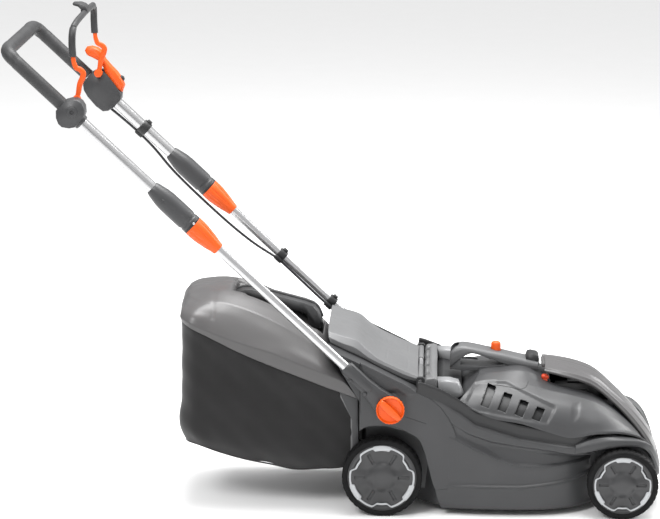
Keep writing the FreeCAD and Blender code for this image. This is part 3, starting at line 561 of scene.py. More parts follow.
def cap_height(radius, angle, scale):
    """The hub cap's relief: a domed boss, six spokes with slots, and a rolled edge."""
    r = radius / scale
    spoke = np.cos(np.radians(angle * 6)) * 0.5 + 0.5
    height = 6.5 * np.exp(-(r / 26) ** 4) + 1.5
    height -= 3.6 * (1 - spoke) * smooth_step((r - 22) / 14) * smooth_step((66 - r) / 10)
    slot_gap = np.abs((angle + 30) % 60 - 30)
    in_slot = smooth_step((3.6 - slot_gap * np.pi / 180 * r) / 1.2) * smooth_step((r - 33) / 2)
    return height - 3.4 * in_slot * smooth_step((59 - r) / 2)


def hub_cap(name, centre, side, scale, body):
    angles = np.arange(0, 360, 1.5)
    edge = 71.0 * scale
    radii = np.concatenate([np.linspace(0.5, 20, 8), np.linspace(21, 70, 50)]) * scale
    rows = []
    for radius in radii:
        height = cap_height(radius, angles, scale)
        rows.append([(radius * math.cos(math.radians(a)), h, radius * math.sin(math.radians(a)))
                     for a, h in zip(angles, height)])
    rows.append([(edge * math.cos(math.radians(a)), -3, edge * math.sin(math.radians(a))) for a in angles])
    rows.append([(0.5 * math.cos(math.radians(a)), -3, 0.5 * math.sin(math.radians(a))) for a in angles])
    count = len(angles)
    corners = [(centre[0] + x, side * (centre[1] + y), centre[2] + z) for row in rows for x, y, z in row]
    faces = [(r * count + c, r * count + (c + 1) % count, (r + 1) * count + (c + 1) % count,
              (r + 1) * count + c)
             for r in range(len(rows) - 1) for c in range(count)]
    faces += [tuple(range(count)), tuple(range((len(rows) - 1) * count, len(rows) * count))]
    cap = clean(make_object(name, corners, faces))
    return finish_piece(cap, body, "hubcap_plastic", [name.replace("_cap", "")])


def trim_ring(name, centre, side, scale, body):
    """The pale scalloped ring: thin along its dips and widened into three pads."""
    angles = np.arange(0, 360, 1.5)
    dip = near_angle(angles, DIP_ANGLES, 9, 10)
    pad = near_angle(angles, BLOCK_ANGLES, 14, 3)
    outer = (69.6 - 9 * dip + 1.6 * pad) * scale
    inner = outer - (4.2 + 7.0 * pad) * scale
    low, high = 0.5, 3.6
    section = [(outer, low), (outer, high - 0.8), (outer - 0.8, high), (inner + 0.8, high),
               (inner, high - 0.8), (inner, low)]
    corners = []
    for radius, height in section:
        corners += [(centre[0] + r * math.cos(math.radians(a)), side * (centre[1] + height),
                     centre[2] + r * math.sin(math.radians(a))) for r, a in zip(radius, angles)]
    count, size = len(angles), len(section)
    faces = [(k * count + c, k * count + (c + 1) % count, (k + 1) % size * count + (c + 1) % count,
              (k + 1) % size * count + c) for k in range(size) for c in range(count)]
    return finish_piece(clean(make_object(name, corners, faces)), body, "hubcap_plastic", paint=TRIM_SILVER)


def tyre(name, centre, side, radius, width, body, node):
    """A solid tyre: rounded shoulders, a raised sidewall band and slanting tread blocks."""
    seat = radius - 12
    profile = [(seat, 2), (seat + 3, 0.4), (radius - 5, 0), (radius - 2, 1), (radius - 0.2, 4)]
    profile += [(radius, step) for step in np.linspace(5, width - 5, 9)]
    profile += [(radius - 0.2, width - 4), (radius - 2, width - 1), (radius - 5, width),
                (seat + 3, width - 0.4), (seat, width - 2.6)]

    def tread(angle, reach, along):
        if reach < radius - 1:
            return 0
        turn = angle / (2 * math.pi) * 36 + abs(along - width / 2) / width
        return -1.7 if turn % 1 < 0.24 else 0

    made = turned(name, profile, (centre[0], side * (192 - width), centre[2]), (0, side, 0), 288, tread, 0)
    return finish_piece(made, body, "tyre_rubber", [node])


for end, axle_x, radius, width in (("rear", 98, 85, 40), ("front", 606, 75, 36)):
    for side_name, side in SIDES.items():
        tag = f"{end}_{side_name}"
        body = f"wheel_{tag}"
        scale = (radius - 13) / 72
        hub_cap(f"hubcap_{tag}_cap", (axle_x, 187, radius), side, scale, body)
        trim_ring(f"hubcap_{tag}_trim", (axle_x, 187, radius), side, scale, body)
        tyre(f"tyre_{tag}_tread", (axle_x, 0, radius), side, radius, width, body, f"tyre_{tag}")


# ------------------------------------------------------------------ deck side and front
DECK_X, DECK_LENGTH, DECK_WIDTH, FULLNESS = 362, 215, 182, 2.6
CRESCENT = [(150, 212), (205, 187), (253, 169), (296, 147), (343, 126), (389, 113), (444, 110), (524, 113),
            (577, 118)]
SEAM = [(120, 266), (150, 262), (184, 253), (221, 226), (249, 201), (280, 181), (327, 164), (388, 154),
        (450, 146), (505, 138), (577, 132)]
BAND = [(120, 270), (150, 268), (184, 261), (221, 247), (264, 221), (295, 197), (388, 168), (450, 158),
        (505, 151), (577, 146)]
SKIRT_CREASE = [(262, 63), (284, 64.5), (392, 65), (472, 73), (512, 81), (560, 90)]


def height_on(line, x):
    return float(np.interp(x, [p[0] for p in line], [p[1] for p in line]))


def chained(levels):
    """Strips of feature lines, each starting from the last line of the strip below it."""
    return [levels[0]] + [[below[-1]] + strip for below, strip in zip(levels, levels[1:])]


def deck_line(start_x, grow, height, columns=64):
    """One level line round half of the deck, from the wheel arch to the middle of the front."""
    points = []
    for t in np.linspace(0, 1, columns):
        if t < 0.4:
            x = start_x + (DECK_X - start_x) * t / 0.4
            blend = smooth_step((x - 200) / 130)
            y = 175 * (1 - blend) + (DECK_WIDTH + grow) * blend
        else:
            turn = math.pi / 2 * (1 - (t - 0.4) / 0.6)
            x = DECK_X + (DECK_LENGTH + max(grow, -7)) * max(math.cos(turn), 0) ** (2 / FULLNESS)
            y = (DECK_WIDTH + grow) * max(math.sin(turn), 0) ** (2 / FULLNESS)
        points.append((x, y if t < 1 else 0, height(x)))
    return points


FLANGE_FRONT = [(362, 171.5), (440, 171), (505, 170), (538, 158), (556, 132), (566, 88), (569, 0)]


def flange_line(start_x, inset, height, columns=64):
    """A line along the deck's upper flange, which runs straight forward before it tucks under the fender."""
    front = [tuple(point) for point in spline(FLANGE_FRONT, 80)]
    points = []
    for t in np.linspace(0, 1, columns):
        if t < 0.4:
            x = start_x + (DECK_X - start_x) * t / 0.4
            blend = smooth_step((x - 200) / 130)
            points.append((x, 175 * (1 - blend) + (171.5 - inset) * blend, height(x)))
        else:
            x, y = front[int(round((t - 0.4) / 0.6 * 79))]
            points.append((x, max(y - inset, 0) if t < 1 else 0, height(x)))
    return points


def above(line, rise):
    """A height that follows a side-view line, raised by some millimetres."""
    return lambda x: height_on(line, x) + rise


deck_levels = [
    [deck_line(224, 0.5, lambda x: 15.2),
     deck_line(213, 0.8, lambda x: 0.5 * (15 + height_on(SKIRT_CREASE, x)) + 3),
     deck_line(210, 0.0, above(SKIRT_CREASE, -4))],
    [deck_line(209, 3.6, above(SKIRT_CREASE, 1.5))],
    [deck_line(208, -0.4, above(SKIRT_CREASE, 5))],
    [deck_line(192, -1.6, lambda x: 0.5 * (height_on(CRESCENT, x) + height_on(SKIRT_CREASE, x))),
     deck_line(180, -2.0, above(CRESCENT, -7)), deck_line(176, -2.6, above(CRESCENT, 0))],
    [deck_line(172, -11, above(CRESCENT, 5)),
     deck_line(170, -16, lambda x: 0.6 * height_on(CRESCENT, x) + 0.4 * height_on(SEAM, x)),
     flange_line(166, 3.5, above(SEAM, -4))],
    [flange_line(166, 0, above(SEAM, -1))],
    [flange_line(166, 0.2, above(BAND, -2))],
    [flange_line(167, 3.5, above(BAND, 1))],
]
deck_grid = patch(chained(deck_levels), 150, 5)
deck_side = finish_piece(shell("deck_side_wall", deck_grid, 2.2, "columns"), "deck", "body_plastic")

# The waist between the deck's flange and the hood, a recessed band painted much darker than the deck:
# painted shade under the hood's lip.
waist_levels = [[flange_line(167, 3.5, above(BAND, 1)), flange_line(168, 7.0, above(BAND, 4))],
                [flange_line(172, 8.0, above(BAND, 30))]]
waist = shell("hood_waist", patch(chained(waist_levels), 150, 4), 2.0, "columns")
finish_piece(waist, "deck", "dark_plastic", paint=WAIST_SHADE_GREY)

# ------------------------------------------------------------------ rear cheeks, where the handle folds
CHEEK_LOW = [(50, 184), (56, 188), (64, 192), (77, 194.5), (105, 195), (117, 194), (143, 186), (154, 180),
             (166, 174), (176, 165), (183, 150), (196, 105), (209, 60), (212, 54)]
CHEEK_TOP = [(50, 334), (78, 320), (112, 303), (156, 280), (173, 268), (183, 264), (200, 256), (212, 246),
             (222, 236), (232, 222), (242, 205), (252, 180), (256, 110), (258, 60)]
cheek_low = [(x, 175.5, z) for x, z in CHEEK_LOW]
cheek_top = [(x, 175.5, z) for x, z in CHEEK_TOP]
cheek_mid = [tuple((np.array(a) + np.array(b)) / 2 + (0, 1.0, 0)) for a, b in zip(cheek_low, cheek_top)]
cheek_grid = patch([[cheek_low, cheek_mid, cheek_top]], 90, 20)
cx, cz = cheek_grid[..., 0], cheek_grid[..., 2]
PANEL = [(53, 326), (53, 308), (80, 286), (104, 271), (129, 275), (150, 259), (172, 267), (150, 277),
         (112, 297)]
POCKET = [(53, 311), (80, 286), (104, 270), (129, 274), (126, 264), (92, 264), (53, 296)]
cheek_grid[..., 1] += 1.6 * smooth_step(inside(PANEL, cx, cz) / 3)
cheek_grid[..., 1] -= 3.2 * smooth_step(inside(POCKET, cx, cz) / 5)
cheek_grid[..., 1] -= 2.0 * smooth_step((2.2 - np.abs(line_distance([(50, 226), (50, 343)], cx, cz))) / 1.5)
cheek_grid[..., 1] += 4.0 * smooth_step((26 - np.hypot(cx - 117, cz - 240)) / 4)
cheeks = finish_piece(shell("rear_cheeks", cheek_grid, 2.2, "copy"), "deck", "body_plastic")


# ------------------------------------------------------------------ hood
# Sections at stations along the hood: lip, side, shoulder, top edge and middle, each (x, y, z).
HOOD = [
    [(258, 168, 246), (262, 158, 252), (272, 138, 260), (288, 104, 270), (300, 64, 279), (304, 0, 282)],
    [(280, 168, 235), (284, 158, 245), (291, 138, 259), (302, 104, 273), (312, 64, 282), (315, 0, 285)],
    [(326, 169, 214), (330, 158, 237), (334, 136, 257), (338, 100, 275), (342, 64, 285), (343, 0, 288)],
    [(390, 169, 202), (392, 157, 228), (394, 132, 250), (396, 98, 270), (398, 62, 288), (399, 0, 290)],
    [(450, 168, 183), (450, 157, 214), (450, 134, 238), (450, 99, 256), (450, 64, 263), (450, 0, 265)],
    [(492, 167, 172), (494, 157, 203), (497, 136, 227), (498, 100, 246), (498, 64, 250), (498, 0, 252)],
    [(550, 165, 180), (554, 151, 200), (556, 128, 215), (557, 99, 226), (557, 66, 231), (557, 0, 234)],
    [(604, 155, 178), (606, 142, 184), (609, 124, 189), (610, 99, 191), (611, 66, 191), (611, 0, 193)],
    [(641, 140, 165), (640, 128, 166), (639, 112, 166), (638, 92, 165), (638, 62, 163), (638, 0, 164)],
    [(666, 116, 142), (664, 108, 141), (662, 94, 138), (660, 78, 135), (660, 52, 132), (660, 0, 132)],
    [(684, 84, 106), (683, 78, 106), (682, 68, 104), (680, 56, 101), (680, 36, 98), (680, 0, 98)],
]
hood_lines = [[station[k] for station in HOOD] for k in range(6)]
hood_under = [(x, y - 9, z - 2.5) for x, y, z in hood_lines[0]]
hood_brow = [(x, y - 0.6, z + 4) for x, y, z in hood_lines[0]]
hood_grid = patch([[hood_under, hood_lines[0]], [hood_lines[0], hood_brow],
                   [hood_brow, hood_lines[1], hood_lines[2], hood_lines[3]],
                   [hood_lines[3], hood_lines[4]], [hood_lines[4], hood_lines[5]]], 170, 9)
VENT_PANEL = [(268, 241), (303, 288), (330, 287), (466, 232), (446, 199), (300, 226)]
hx, hz = hood_grid[..., 0], hood_grid[..., 2]
hood_out = grid_normals(hood_grid)
dent = 3.4 * smooth_step(inside(VENT_PANEL, hx, hz) / 3) * (hood_grid[..., 1] > 100)
# Two facet outlines are given for the flank in front of the vents; only the first is pressed in as a shallow
# facet.
FACETS = [[(500, 236), (519, 238), (515, 213), (500, 198), (494, 214)],
          [(560, 228), (579, 226), (616, 176), (560, 184)]]
dent += 1.2 * smooth_step(inside(FACETS[0], hx, hz) / 6) * (hood_grid[..., 1] > 100)
hood_grid = hood_grid - hood_out * dent[..., None]
hood = shell("hood_cover", hood_grid, 2.6, "rows", (0, 0, 120))
slots = []
for side in (-1, 1):
    for step in range(4):
        slide = step / 3
        top = (321 + 103 * slide, 271 - 39 * slide)
        low = (304 + 108 * slide, 238 - 27 * slide)
        outline = [low, (low[0] + 17, low[1] - 6.5), (top[0] + 17, top[1] - 5), top]
        slots.append(prism(f"slot_{side}_{step}", outline, *sorted((side * 90, side * 200)), 0))
bay_well = prism("bay_well", [(455, 330), (455, 200), (594, 190), (594, 330)], -56, 56, 0)
carve(hood, *slots, bay_well)
finish_piece(hood, "deck", "hood_plastic", ["hood_shell"])

# A dark baffle stands behind the vent slots.
baffle_grid = patch([[hood_brow, hood_lines[1], hood_lines[2], hood_lines[3]]], 60, 5)[:, 1:44]
baffle = shell("vent_baffle", baffle_grid - grid_normals(baffle_grid) * 11, 1.5, "copy")
finish_piece(baffle, "deck", "dark_plastic")

# ------------------------------------------------------------------ fender and nose below the hood's lip
FENDER_LOW = [(505, 170, 138), (540, 172, 144), (577, 172.5, 152), (617, 171, 156), (643, 165, 152),
              (660, 150, 138), (673, 130, 112), (682, 105, 84), (688, 75, 62), (690, 40, 52), (691, 0, 48)]
FENDER_ROLL = [(505, 171, 141), (540, 173, 148), (577, 173.5, 156), (618, 172, 160), (646, 166, 156),
               (663, 151, 142), (677, 131, 115), (687, 106, 87), (692.5, 76, 66), (694.5, 40, 57),
               (695.5, 0, 53)]
FENDER_MID = [(505, 170, 148), (540, 172, 158), (577, 172, 166), (616, 169, 168), (645, 161, 164),
              (666, 144, 150), (680, 122, 128), (688, 98, 106), (692, 72, 92), (694, 40, 86), (695, 0, 84)]
FENDER_TOP = [(505, 166, 155), (540, 166, 168), (577, 164, 173.5), (606, 156, 172), (641, 141, 163),
              (663, 118, 147), (676, 100, 131), (683, 82, 116), (687, 62, 108), (689, 36, 106),
              (690, 0, 106)]
FENDER_IN = [(505, 150, 158), (540, 150, 170), (577, 148, 174), (604, 140, 172), (636, 126, 162),
             (656, 104, 147), (668, 88, 134), (674, 70, 121), (678, 52, 114), (680, 30, 112), (681, 0, 112)]
inner_low = [(x - 7, y - 7, z + 1) for x, y, z in FENDER_LOW]
inner_low[-1] = (684, 0, 49)
fender_grid = patch([[inner_low, FENDER_LOW], [FENDER_LOW, FENDER_ROLL],
                     [FENDER_ROLL, FENDER_MID, FENDER_TOP],
                     [FENDER_TOP, FENDER_IN]], 130, 7)
finish_piece(shell("front_fender", fender_grid, 2.2, "columns"), "deck", "body_plastic")


# ------------------------------------------------------------------ grass collector
# Feature lines of the hard lid from its rear to its front: each station is (x, y, z) from hem to crown.
COLLECTOR = [
    [(-333, 0, 410), (-336, 0, 416), (-336, 0, 428), (-332, 0, 442), (-326, 0, 450), (-318, 0, 455),
     (-312, 0, 457)],
    [(-331, 92, 410), (-334, 90, 416), (-333, 84, 426), (-328, 70, 436), (-320, 54, 448), (-314, 30, 455),
     (-310, 0, 457)],
    [(-327, 132, 407), (-329, 133, 415), (-326, 127, 425), (-318, 110, 436), (-306, 86, 447),
     (-300, 48, 457), (-297, 0, 459)],
    [(-312, 150, 400), (-312, 152, 410), (-307, 148, 420), (-298, 130, 434), (-286, 102, 446),
     (-280, 56, 458), (-278, 0, 461)],
    [(-270, 156, 380), (-270, 157, 392), (-266, 151, 404), (-256, 132, 426), (-248, 108, 444),
     (-244, 58, 459), (-243, 0, 463)],
    [(-206, 158, 348), (-206, 159, 369), (-204, 150, 384), (-203, 131, 410), (-202, 110, 432),
     (-201, 62, 451), (-200, 0, 458)],
    [(-136, 158, 318), (-136, 159, 348), (-136, 148, 362), (-136, 131, 383), (-136, 110, 404),
     (-136, 64, 425), (-136, 0, 434)],
    [(-70, 157, 292), (-70, 158, 321), (-70, 150, 333), (-70, 132, 348), (-70, 110, 366), (-70, 64, 389),
     (-70, 0, 397)],
    [(-14, 156, 270), (-14, 157, 299), (-14, 150, 307), (-18, 134, 318), (-24, 112, 332), (-29, 66, 356),
     (-29, 0, 364)],
    [(20, 156, 258), (18, 157, 284), (14, 152, 291), (6, 138, 300), (-4, 116, 310), (-10, 68, 326),
     (-12, 0, 332)],
    [(44, 155, 249), (38, 156, 260), (34, 150, 266), (28, 138, 273), (18, 116, 283), (12, 68, 294),
     (10, 0, 299)],
]
lid_lines = [[station[k] for station in COLLECTOR] for k in range(7)]
lid_hem = [(x, y - 4, z + 1) for x, y, z in lid_lines[0]]
lid_grid = patch([[lid_hem, lid_lines[0]], [lid_lines[0], lid_lines[1]],
                  [lid_lines[1], lid_lines[2], lid_lines[3], lid_lines[4]],
                  [lid_lines[4], lid_lines[5], lid_lines[6]]], 150, 9)
RECESS = [(-226, 52), (-190, 60), (-64, 60), (-31, 56), (-31, -1), (-226, -1)]
recess_depth = 34 * smooth_step(inside(RECESS, lid_grid[..., 0], np.abs(lid_grid[..., 1])) / 9)
lid_grid[..., 2] -= recess_depth
# A faint vertical crease where the rear corner's curve meets the long flank.
lid_grid[..., 1] -= 1.4 * smooth_step((7 - np.abs(lid_grid[..., 0] + 262)) / 7) * (lid_grid[..., 2] > 415)
finish_piece(shell("collector_cover", lid_grid, 2.4, "rows", (0, 0, 380)), "collector",
             "lid_plastic", ["collector_lid"])

# The fabric bag hangs from the lid's hem and sags between its seams.
BAG = [
    [(-331, 0, 412), (-331, 0, 330), (-334, 0, 240), (-336, 0, 168), (-328, 0, 142), (-302, 0, 134),
     (-297, 0, 132)],
    [(-331, 88, 412), (-331, 88, 330), (-333, 90, 240), (-335, 92, 168), (-326, 92, 142), (-300, 60, 134),
     (-296, 0, 132)],
    [(-328, 128, 409), (-327, 128, 330), (-330, 130, 240), (-331, 131, 168), (-318, 128, 142),
     (-290, 70, 128), (-286, 0, 126)],
    [(-308, 147, 399), (-306, 146, 320), (-309, 149, 235), (-308, 148, 165), (-296, 138, 138),
     (-270, 76, 124), (-266, 0, 122)],
    [(-262, 151, 378), (-262, 149, 300), (-263, 154, 225), (-262, 152, 150), (-256, 140, 124),
     (-236, 78, 113), (-232, 0, 111)],
    [(-200, 151, 347), (-200, 150, 280), (-200, 156, 212), (-200, 153, 136), (-198, 141, 108),
     (-190, 80, 98), (-188, 0, 96)],
    [(-136, 151, 318), (-136, 150, 262), (-136, 156, 200), (-136, 153, 124), (-136, 141, 96),
     (-134, 80, 86), (-134, 0, 84)],
    [(-87, 151, 299), (-87, 150, 250), (-87, 154, 190), (-87, 151, 112), (-87, 140, 86), (-87, 80, 78),
     (-87, 0, 77)],
    [(-40, 151, 280), (-40, 149, 232), (-40, 151, 180), (-40, 148, 112), (-40, 138, 88), (-40, 80, 80),
     (-40, 0, 79)],
    [(0, 150, 266), (6, 148, 246), (14, 148, 214), (20, 144, 120), (20, 134, 92), (20, 78, 88),
     (20, 0, 88)],
    [(6, 149, 262), (14, 147, 240), (30, 145, 206), (33, 142, 122), (33, 132, 96), (33, 78, 92),
     (33, 0, 92)],
]
bag_lines = [[station[k] for station in BAG] for k in range(7)]
bag_grid = patch([bag_lines[0:5], bag_lines[4:7]], 120, 12)
bx, bz = bag_grid[..., 0], bag_grid[..., 2]
bag_out = grid_normals(bag_grid)
fold = 1.5 * np.sin(bx / 23 + bz / 61) * np.sin(bz / 37 - bx / 90)
fold += 0.8 * np.sin(bx / 9 + bz / 17) * np.sin(bz / 21)
below_hem = np.abs(bz - np.interp(bx, [p[0] for p in bag_lines[0]], [p[2] for p in bag_lines[0]]))
edge_calm = smooth_step(below_hem / 26)
bag_grid = bag_grid + bag_out * (fold * edge_calm)[..., None]
bag = shell("collector_bag_fabric", bag_grid, 1.2, "rows", (-150, 0, 220))
smoothing = bag.modifiers.new("weave", "SUBSURF")
smoothing.levels = smoothing.render_levels = 1
bake(bag)
finish_piece(bag, "collector", "bag_fabric", ["collector_bag"])

# A sewn binding follows each lower side seam.
lower_seam = spline(bag_lines[4], 50)
bindings = [rod(f"binding_{side}", [(x, side * (y + 0.3), z) for x, y, z in lower_seam],
                1.7) for side in (-1, 1)]
finish_piece(join("bag_binding", *bindings), "collector", "bag_fabric")

# The frame at the mouth shows as a narrow moulded gusset on each side.
GUSSET = [(6, 263), (46, 250), (47, 152), (46, 100), (34, 96), (34, 150), (33, 200)]
gussets = [prism(f"gusset_{low}", GUSSET, low, high, 1.2) for low, high in ((-152.5, -148), (148, 152.5))]
finish_piece(join("mouth_gussets", *gussets), "collector", "body_plastic")

# The carrying grip: a broad dark bow over the recess, with a raised rim along its back.
GRIP_TOP = [(-238, 431), (-226, 445), (-206, 452), (-190, 452), (-150, 443), (-104, 431), (-70, 422),
            (-52, 415), (-42, 402), (-37, 386), (-35, 363)]
GRIP_LOW = [(-60, 366), (-61, 384), (-66, 395), (-80, 402), (-120, 411), (-160, 421), (-188, 427),
            (-202, 421), (-214, 419), (-228, 423)]
bow = crowned("grip_bow", GRIP_TOP + GRIP_LOW, -24, 24, 0.06, 6)
rim = rod("grip_rim", [(x, 0, z + 0.5) for x, z in GRIP_TOP[1:-1]], 4)
finish_piece(join("collector_grip_bow", bow, rim), "collector", "grip_rubber", ["collector_grip"])


# ------------------------------------------------------------------ rear flap
# Stations from the hinge to the tip: underside edge, side edge, bevel, top edge and middle.
FLAP = [
    [(172, 125, 279), (173, 126, 285), (173, 122, 289), (172, 80, 291), (172, 0, 292)],
    [(150, 125, 284), (150, 126, 292), (150, 121, 298), (150, 80, 300), (150, 0, 301)],
    [(112, 125, 301), (112, 126, 309), (112, 121, 315), (112, 80, 318), (112, 0, 319)],
    [(84, 125, 315), (84, 126, 322), (86, 121, 328), (88, 80, 330), (88, 0, 331)],
    [(66, 125, 325), (64, 126, 333), (66, 116, 343), (68, 80, 345), (68, 0, 346)],
    [(46, 125, 335), (42, 126, 350), (42, 112, 364), (42, 78, 366), (42, 0, 367)],
    [(14, 125, 350), (10, 126, 362), (8, 112, 375), (8, 78, 378), (8, 0, 379)],
    [(-14, 124, 364), (-17, 124, 374), (-19, 110, 384), (-19, 76, 387), (-19, 0, 388)],
]
flap_lines = [[station[k] for station in FLAP] for k in range(5)]
flap_grid = patch([[flap_lines[0], flap_lines[1]], [flap_lines[1], flap_lines[2]],
                   [flap_lines[2], flap_lines[3], flap_lines[4]]], 100, 10)
fx, fy = flap_grid[..., 0], flap_grid[..., 1]
TALLY = [(104, 30), (104, 96), (150, 96), (150, 30)]
flap_grid[..., 2] -= 0.9 * smooth_step((1.4 - np.abs(inside(TALLY, fx, fy))) / 1.0)
flap_skin = shell("flap_cover", flap_grid, 2.6, "rows", (60, 0, 300))
barrels = [turned(f"flap_barrel_{low}", [(3.2, low), (6.5, low), (6.5, low + 96), (3.2, low + 96),
                                         (3.2, low)],
                  (177, 0, 284), (0, 1, 0), 32) for low in (-124, 28)]
finish_piece(join("flap_shell", flap_skin, *barrels), "rear_flap", "light_plastic", ["rear_flap"])

# A dark strip under each long edge of the flap is painted shade: it stands for the shadowed recess beneath
# the flap's edge.
FLAP_SHADE_OUTLINE = [(170, 270), (171, 277), (150, 283), (84, 314), (46, 334), (-14, 363), (-15, 356), (44, 327),
         (82, 307)]
strips = [prism(f"strip_{low}", FLAP_SHADE_OUTLINE, low, high, 0.8) for low, high in ((-126, -118), (118, 126))]
finish_piece(join("flap_edge_shade_strips", *strips), "rear_flap", "dark_plastic")


# ------------------------------------------------------------------ folding handle
def on_both(make, name, body, slot, replaced=(), paint=None):
    """The same handle piece made on each side and kept as one object."""
    pieces = [make(side) for side in (-1, 1)]
    return finish_piece(join(name, *pieces), body, slot, replaced, paint)


def foot(side):
    """The moulded foot: a rounded pivot plate that narrows up to the tube's socket."""
    plate = [(-25, -12), (-17, -23), (-6, -28), (6, -28), (17, -23), (25, -12), (27, 4), (23, 22), (18, 48),
             (15.5, 78), (15, 128), (-15, 128), (-15.5, 78), (-19, 48), (-25, 22), (-28, 4)]
    low, high = sorted((side * 177.4, side * 195.8))
    body = crowned(f"foot_{side}", handle_outline(plate), low, high, 0.07, 5)
    socket = turned(f"socket_{side}", [(0, 50), (7, 52), (12, 62), (13.4, 80), (13.8, 126), (12.6, 131),
                                       (0, 131)],
                    tuple(PIVOT + Vector((0, side * TUBE_Y, 0))), tuple(ALONG), 40)
    flat = [(-40, 40), (-40, 140), (40, 140), (40, 40)]
    carve(socket, prism(f"flat_{side}", handle_outline(flat), *sorted((side * 150, side * 177.2)), 0))
    pins = [turned(f"pin_{side}_{s}", [(0, 0), (4.6, 0), (4.6, 2.2), (3.4, 3.4), (0, 3.4)],
                   tuple(on_handle(-13, side * 195.4, s)), (0, side, 0), 24) for s in (62, 104)]
    return join(f"foot_whole_{side}", body, socket, *pins)


def sleeve(side):
    """The grey clamp sleeve, with its ribbed throat and three recessed screws."""
    profile = [(12.6, 568), (20.9, 568), (21.4, 570), (21.6, 577), (20.4, 579), (20.6, 583), (22.2, 585),
               (22.4, 600), (22.2, 640), (20.6, 655), (16.4, 676), (14.2, 682), (12.6, 682)]

    def flats(angle, radius, along):
        return -1.3 * max(0.0, math.cos(2 * angle)) ** 3 if radius > 19 else 0

    shaft = turned(f"sleeve_{side}", profile, (115, side * TUBE_Y, 238), tuple(ALONG), 72, flats)
    screws = []
    for along in (596, 620, 648):
        spot = on_handle(2 - (along - 596) * 0.05, side * (TUBE_Y + 19.5), along)
        head = [(0, 0), (4.4, 0), (4.4, 1.6), (3.0, 1.8), (2.4, 0.6), (0, 0.6)]
        screws.append(turned(f"screw_{side}_{along}", head, tuple(spot), (0, side, 0), 24))
    return join(f"sleeve_whole_{side}", shaft, *screws)


def collar(side_name):
    """The orange twist collar, with moulded finger grooves that fade towards its throat."""
    side = SIDES[side_name]
    profile = [(10.6, 494), (12.6, 494), (13.2, 496), (14.2, 503), (17, 515), (20.2, 534), (21.6, 546),
               (21.9, 556), (21.8, 566), (21.2, 567.2), (10.6, 567.2)]

    def grooves(angle, radius, along):
        if radius < 15:
            return 0
        depth = 1.5 * smooth_step((along - 508) / 12) * smooth_step((562 - along) / 5)
        return -float(depth) * max(0.0, math.cos(9 * angle)) ** 2

    made = turned(f"collar_{side_name}", profile, (115, side * TUBE_Y, 238), tuple(ALONG), 144, grooves)
    return finish_piece(made, f"twist_collar_{side_name}", "orange_plastic", [f"twist_collar_{side_name}"])


def knob(side_name):
    """The orange fold knob: a shallow dish crossed by a raised thumb bar, with a milled edge."""
    side = SIDES[side_name]
    profile = [(4.2, 196.6), (30, 196.6), (30.2, 199), (29.6, 204), (28, 205.6), (26.8, 204), (25, 199.4),
               (0, 199)]

    def milling(angle, radius, along):
        return -0.6 if radius > 29 and (angle * 27 / math.pi) % 2 < 0.7 else 0

    made = turned(f"dish_{side_name}", profile, (115, 0, 238), (0, side, 0), 216, milling, 0.3)
    bar = [(-5.5, -28), (-7.5, -12), (-8, 0), (-7.5, 12), (-5.5, 28), (5.5, 28), (7.5, 12), (8, 0),
           (7.5, -12), (5.5, -28)]
    low, high = sorted((side * 198.6, side * 208.4))
    thumb = crowned(f"bar_{side_name}", handle_outline(bar), low, high, 0.10, 4)
    joined = join(f"knob_{side_name}", made, thumb)
    return finish_piece(joined, f"fold_knob_{side_name}", "orange_plastic", [f"fold_knob_{side_name}"])


on_both(foot, "handle_foot_shells", "lower_handle", "body_plastic", ["handle_feet"])
on_both(sleeve, "sleeve_shells", "upper_handle", "dark_plastic", ["tube_sleeves"], SLEEVE_GREY)
for side_name in SIDES:
    collar(side_name)
    knob(side_name)

# Dark lock rings sit between each collar and its sleeve, with a small bright pin.
LOCK_RING = [(12.7, 567.3), (21.6, 567.3), (21.8, 569.5), (21.6, 572), (12.7, 572)]
LOCK_PIN = [(0, 0), (2.6, 0), (2.6, 1.4), (0, 1.8)]
on_both(lambda side: turned(f"ring_{side}", LOCK_RING, (115, side * TUBE_Y, 238), tuple(ALONG), 64),
        "lock_rings", "upper_handle", "dark_plastic")
on_both(lambda side: turned(f"tip_{side}", LOCK_PIN, on_handle(9, side * 206.6, 570), (0, side, 0), 24),
        "lock_pins", "upper_handle", "steel")

# The padded grip loop, its bar swollen and its shafts slimmer, with moulded seams.
loop_side = [(0, -187, 930), (0, -187, 960), (0, -187, 1000), (0, -187, 1040), (0, -186, 1062),
             (0, -180, 1080), (0, -168, 1087), (0, -150, 1090), (0, -110, 1090), (0, -50, 1090)]
loop_route = loop_side + [(a, -y, s) for a, y, s in reversed(loop_side)]


def bar_along(name, path, upright_of, wide, thick, segments=28):
    """A bar along a path; wide and thick give its half-widths at a place from 0 to 1."""
    tangent = np.gradient(path, axis=0)
    tangent /= np.linalg.norm(tangent, axis=1, keepdims=True)
    corners, steps = [], len(path)
    for index, (point, along) in enumerate(zip(path, tangent)):
        upright = np.array(upright_of(along))
        upright /= np.linalg.norm(upright)
        sideways = np.cross(upright, along)
        place = index / (steps - 1)
        for turn in np.linspace(0, 2 * math.pi, segments, endpoint=False):
            corners.append(point + upright * wide(place) * math.cos(turn)
                           + sideways * thick(place) * math.sin(turn))
    faces = [(r * segments + c, r * segments + (c + 1) % segments, (r + 1) * segments + (c + 1) % segments,
              (r + 1) * segments + c) for r in range(steps - 1) for c in range(segments)]
    faces += [tuple(range(segments)), tuple(range((steps - 1) * segments, steps * segments))]
    return clean(make_object(name, corners, faces))


def loop_radius(place):
    bar = smooth_step((0.33 - abs(place - 0.5)) / 0.06)
    ring = 0.5 * smooth_step((0.008 - abs(abs(place - 0.5) - 0.30)) / 0.004)
    return 14.0 + 0.6 * float(bar) - float(ring)


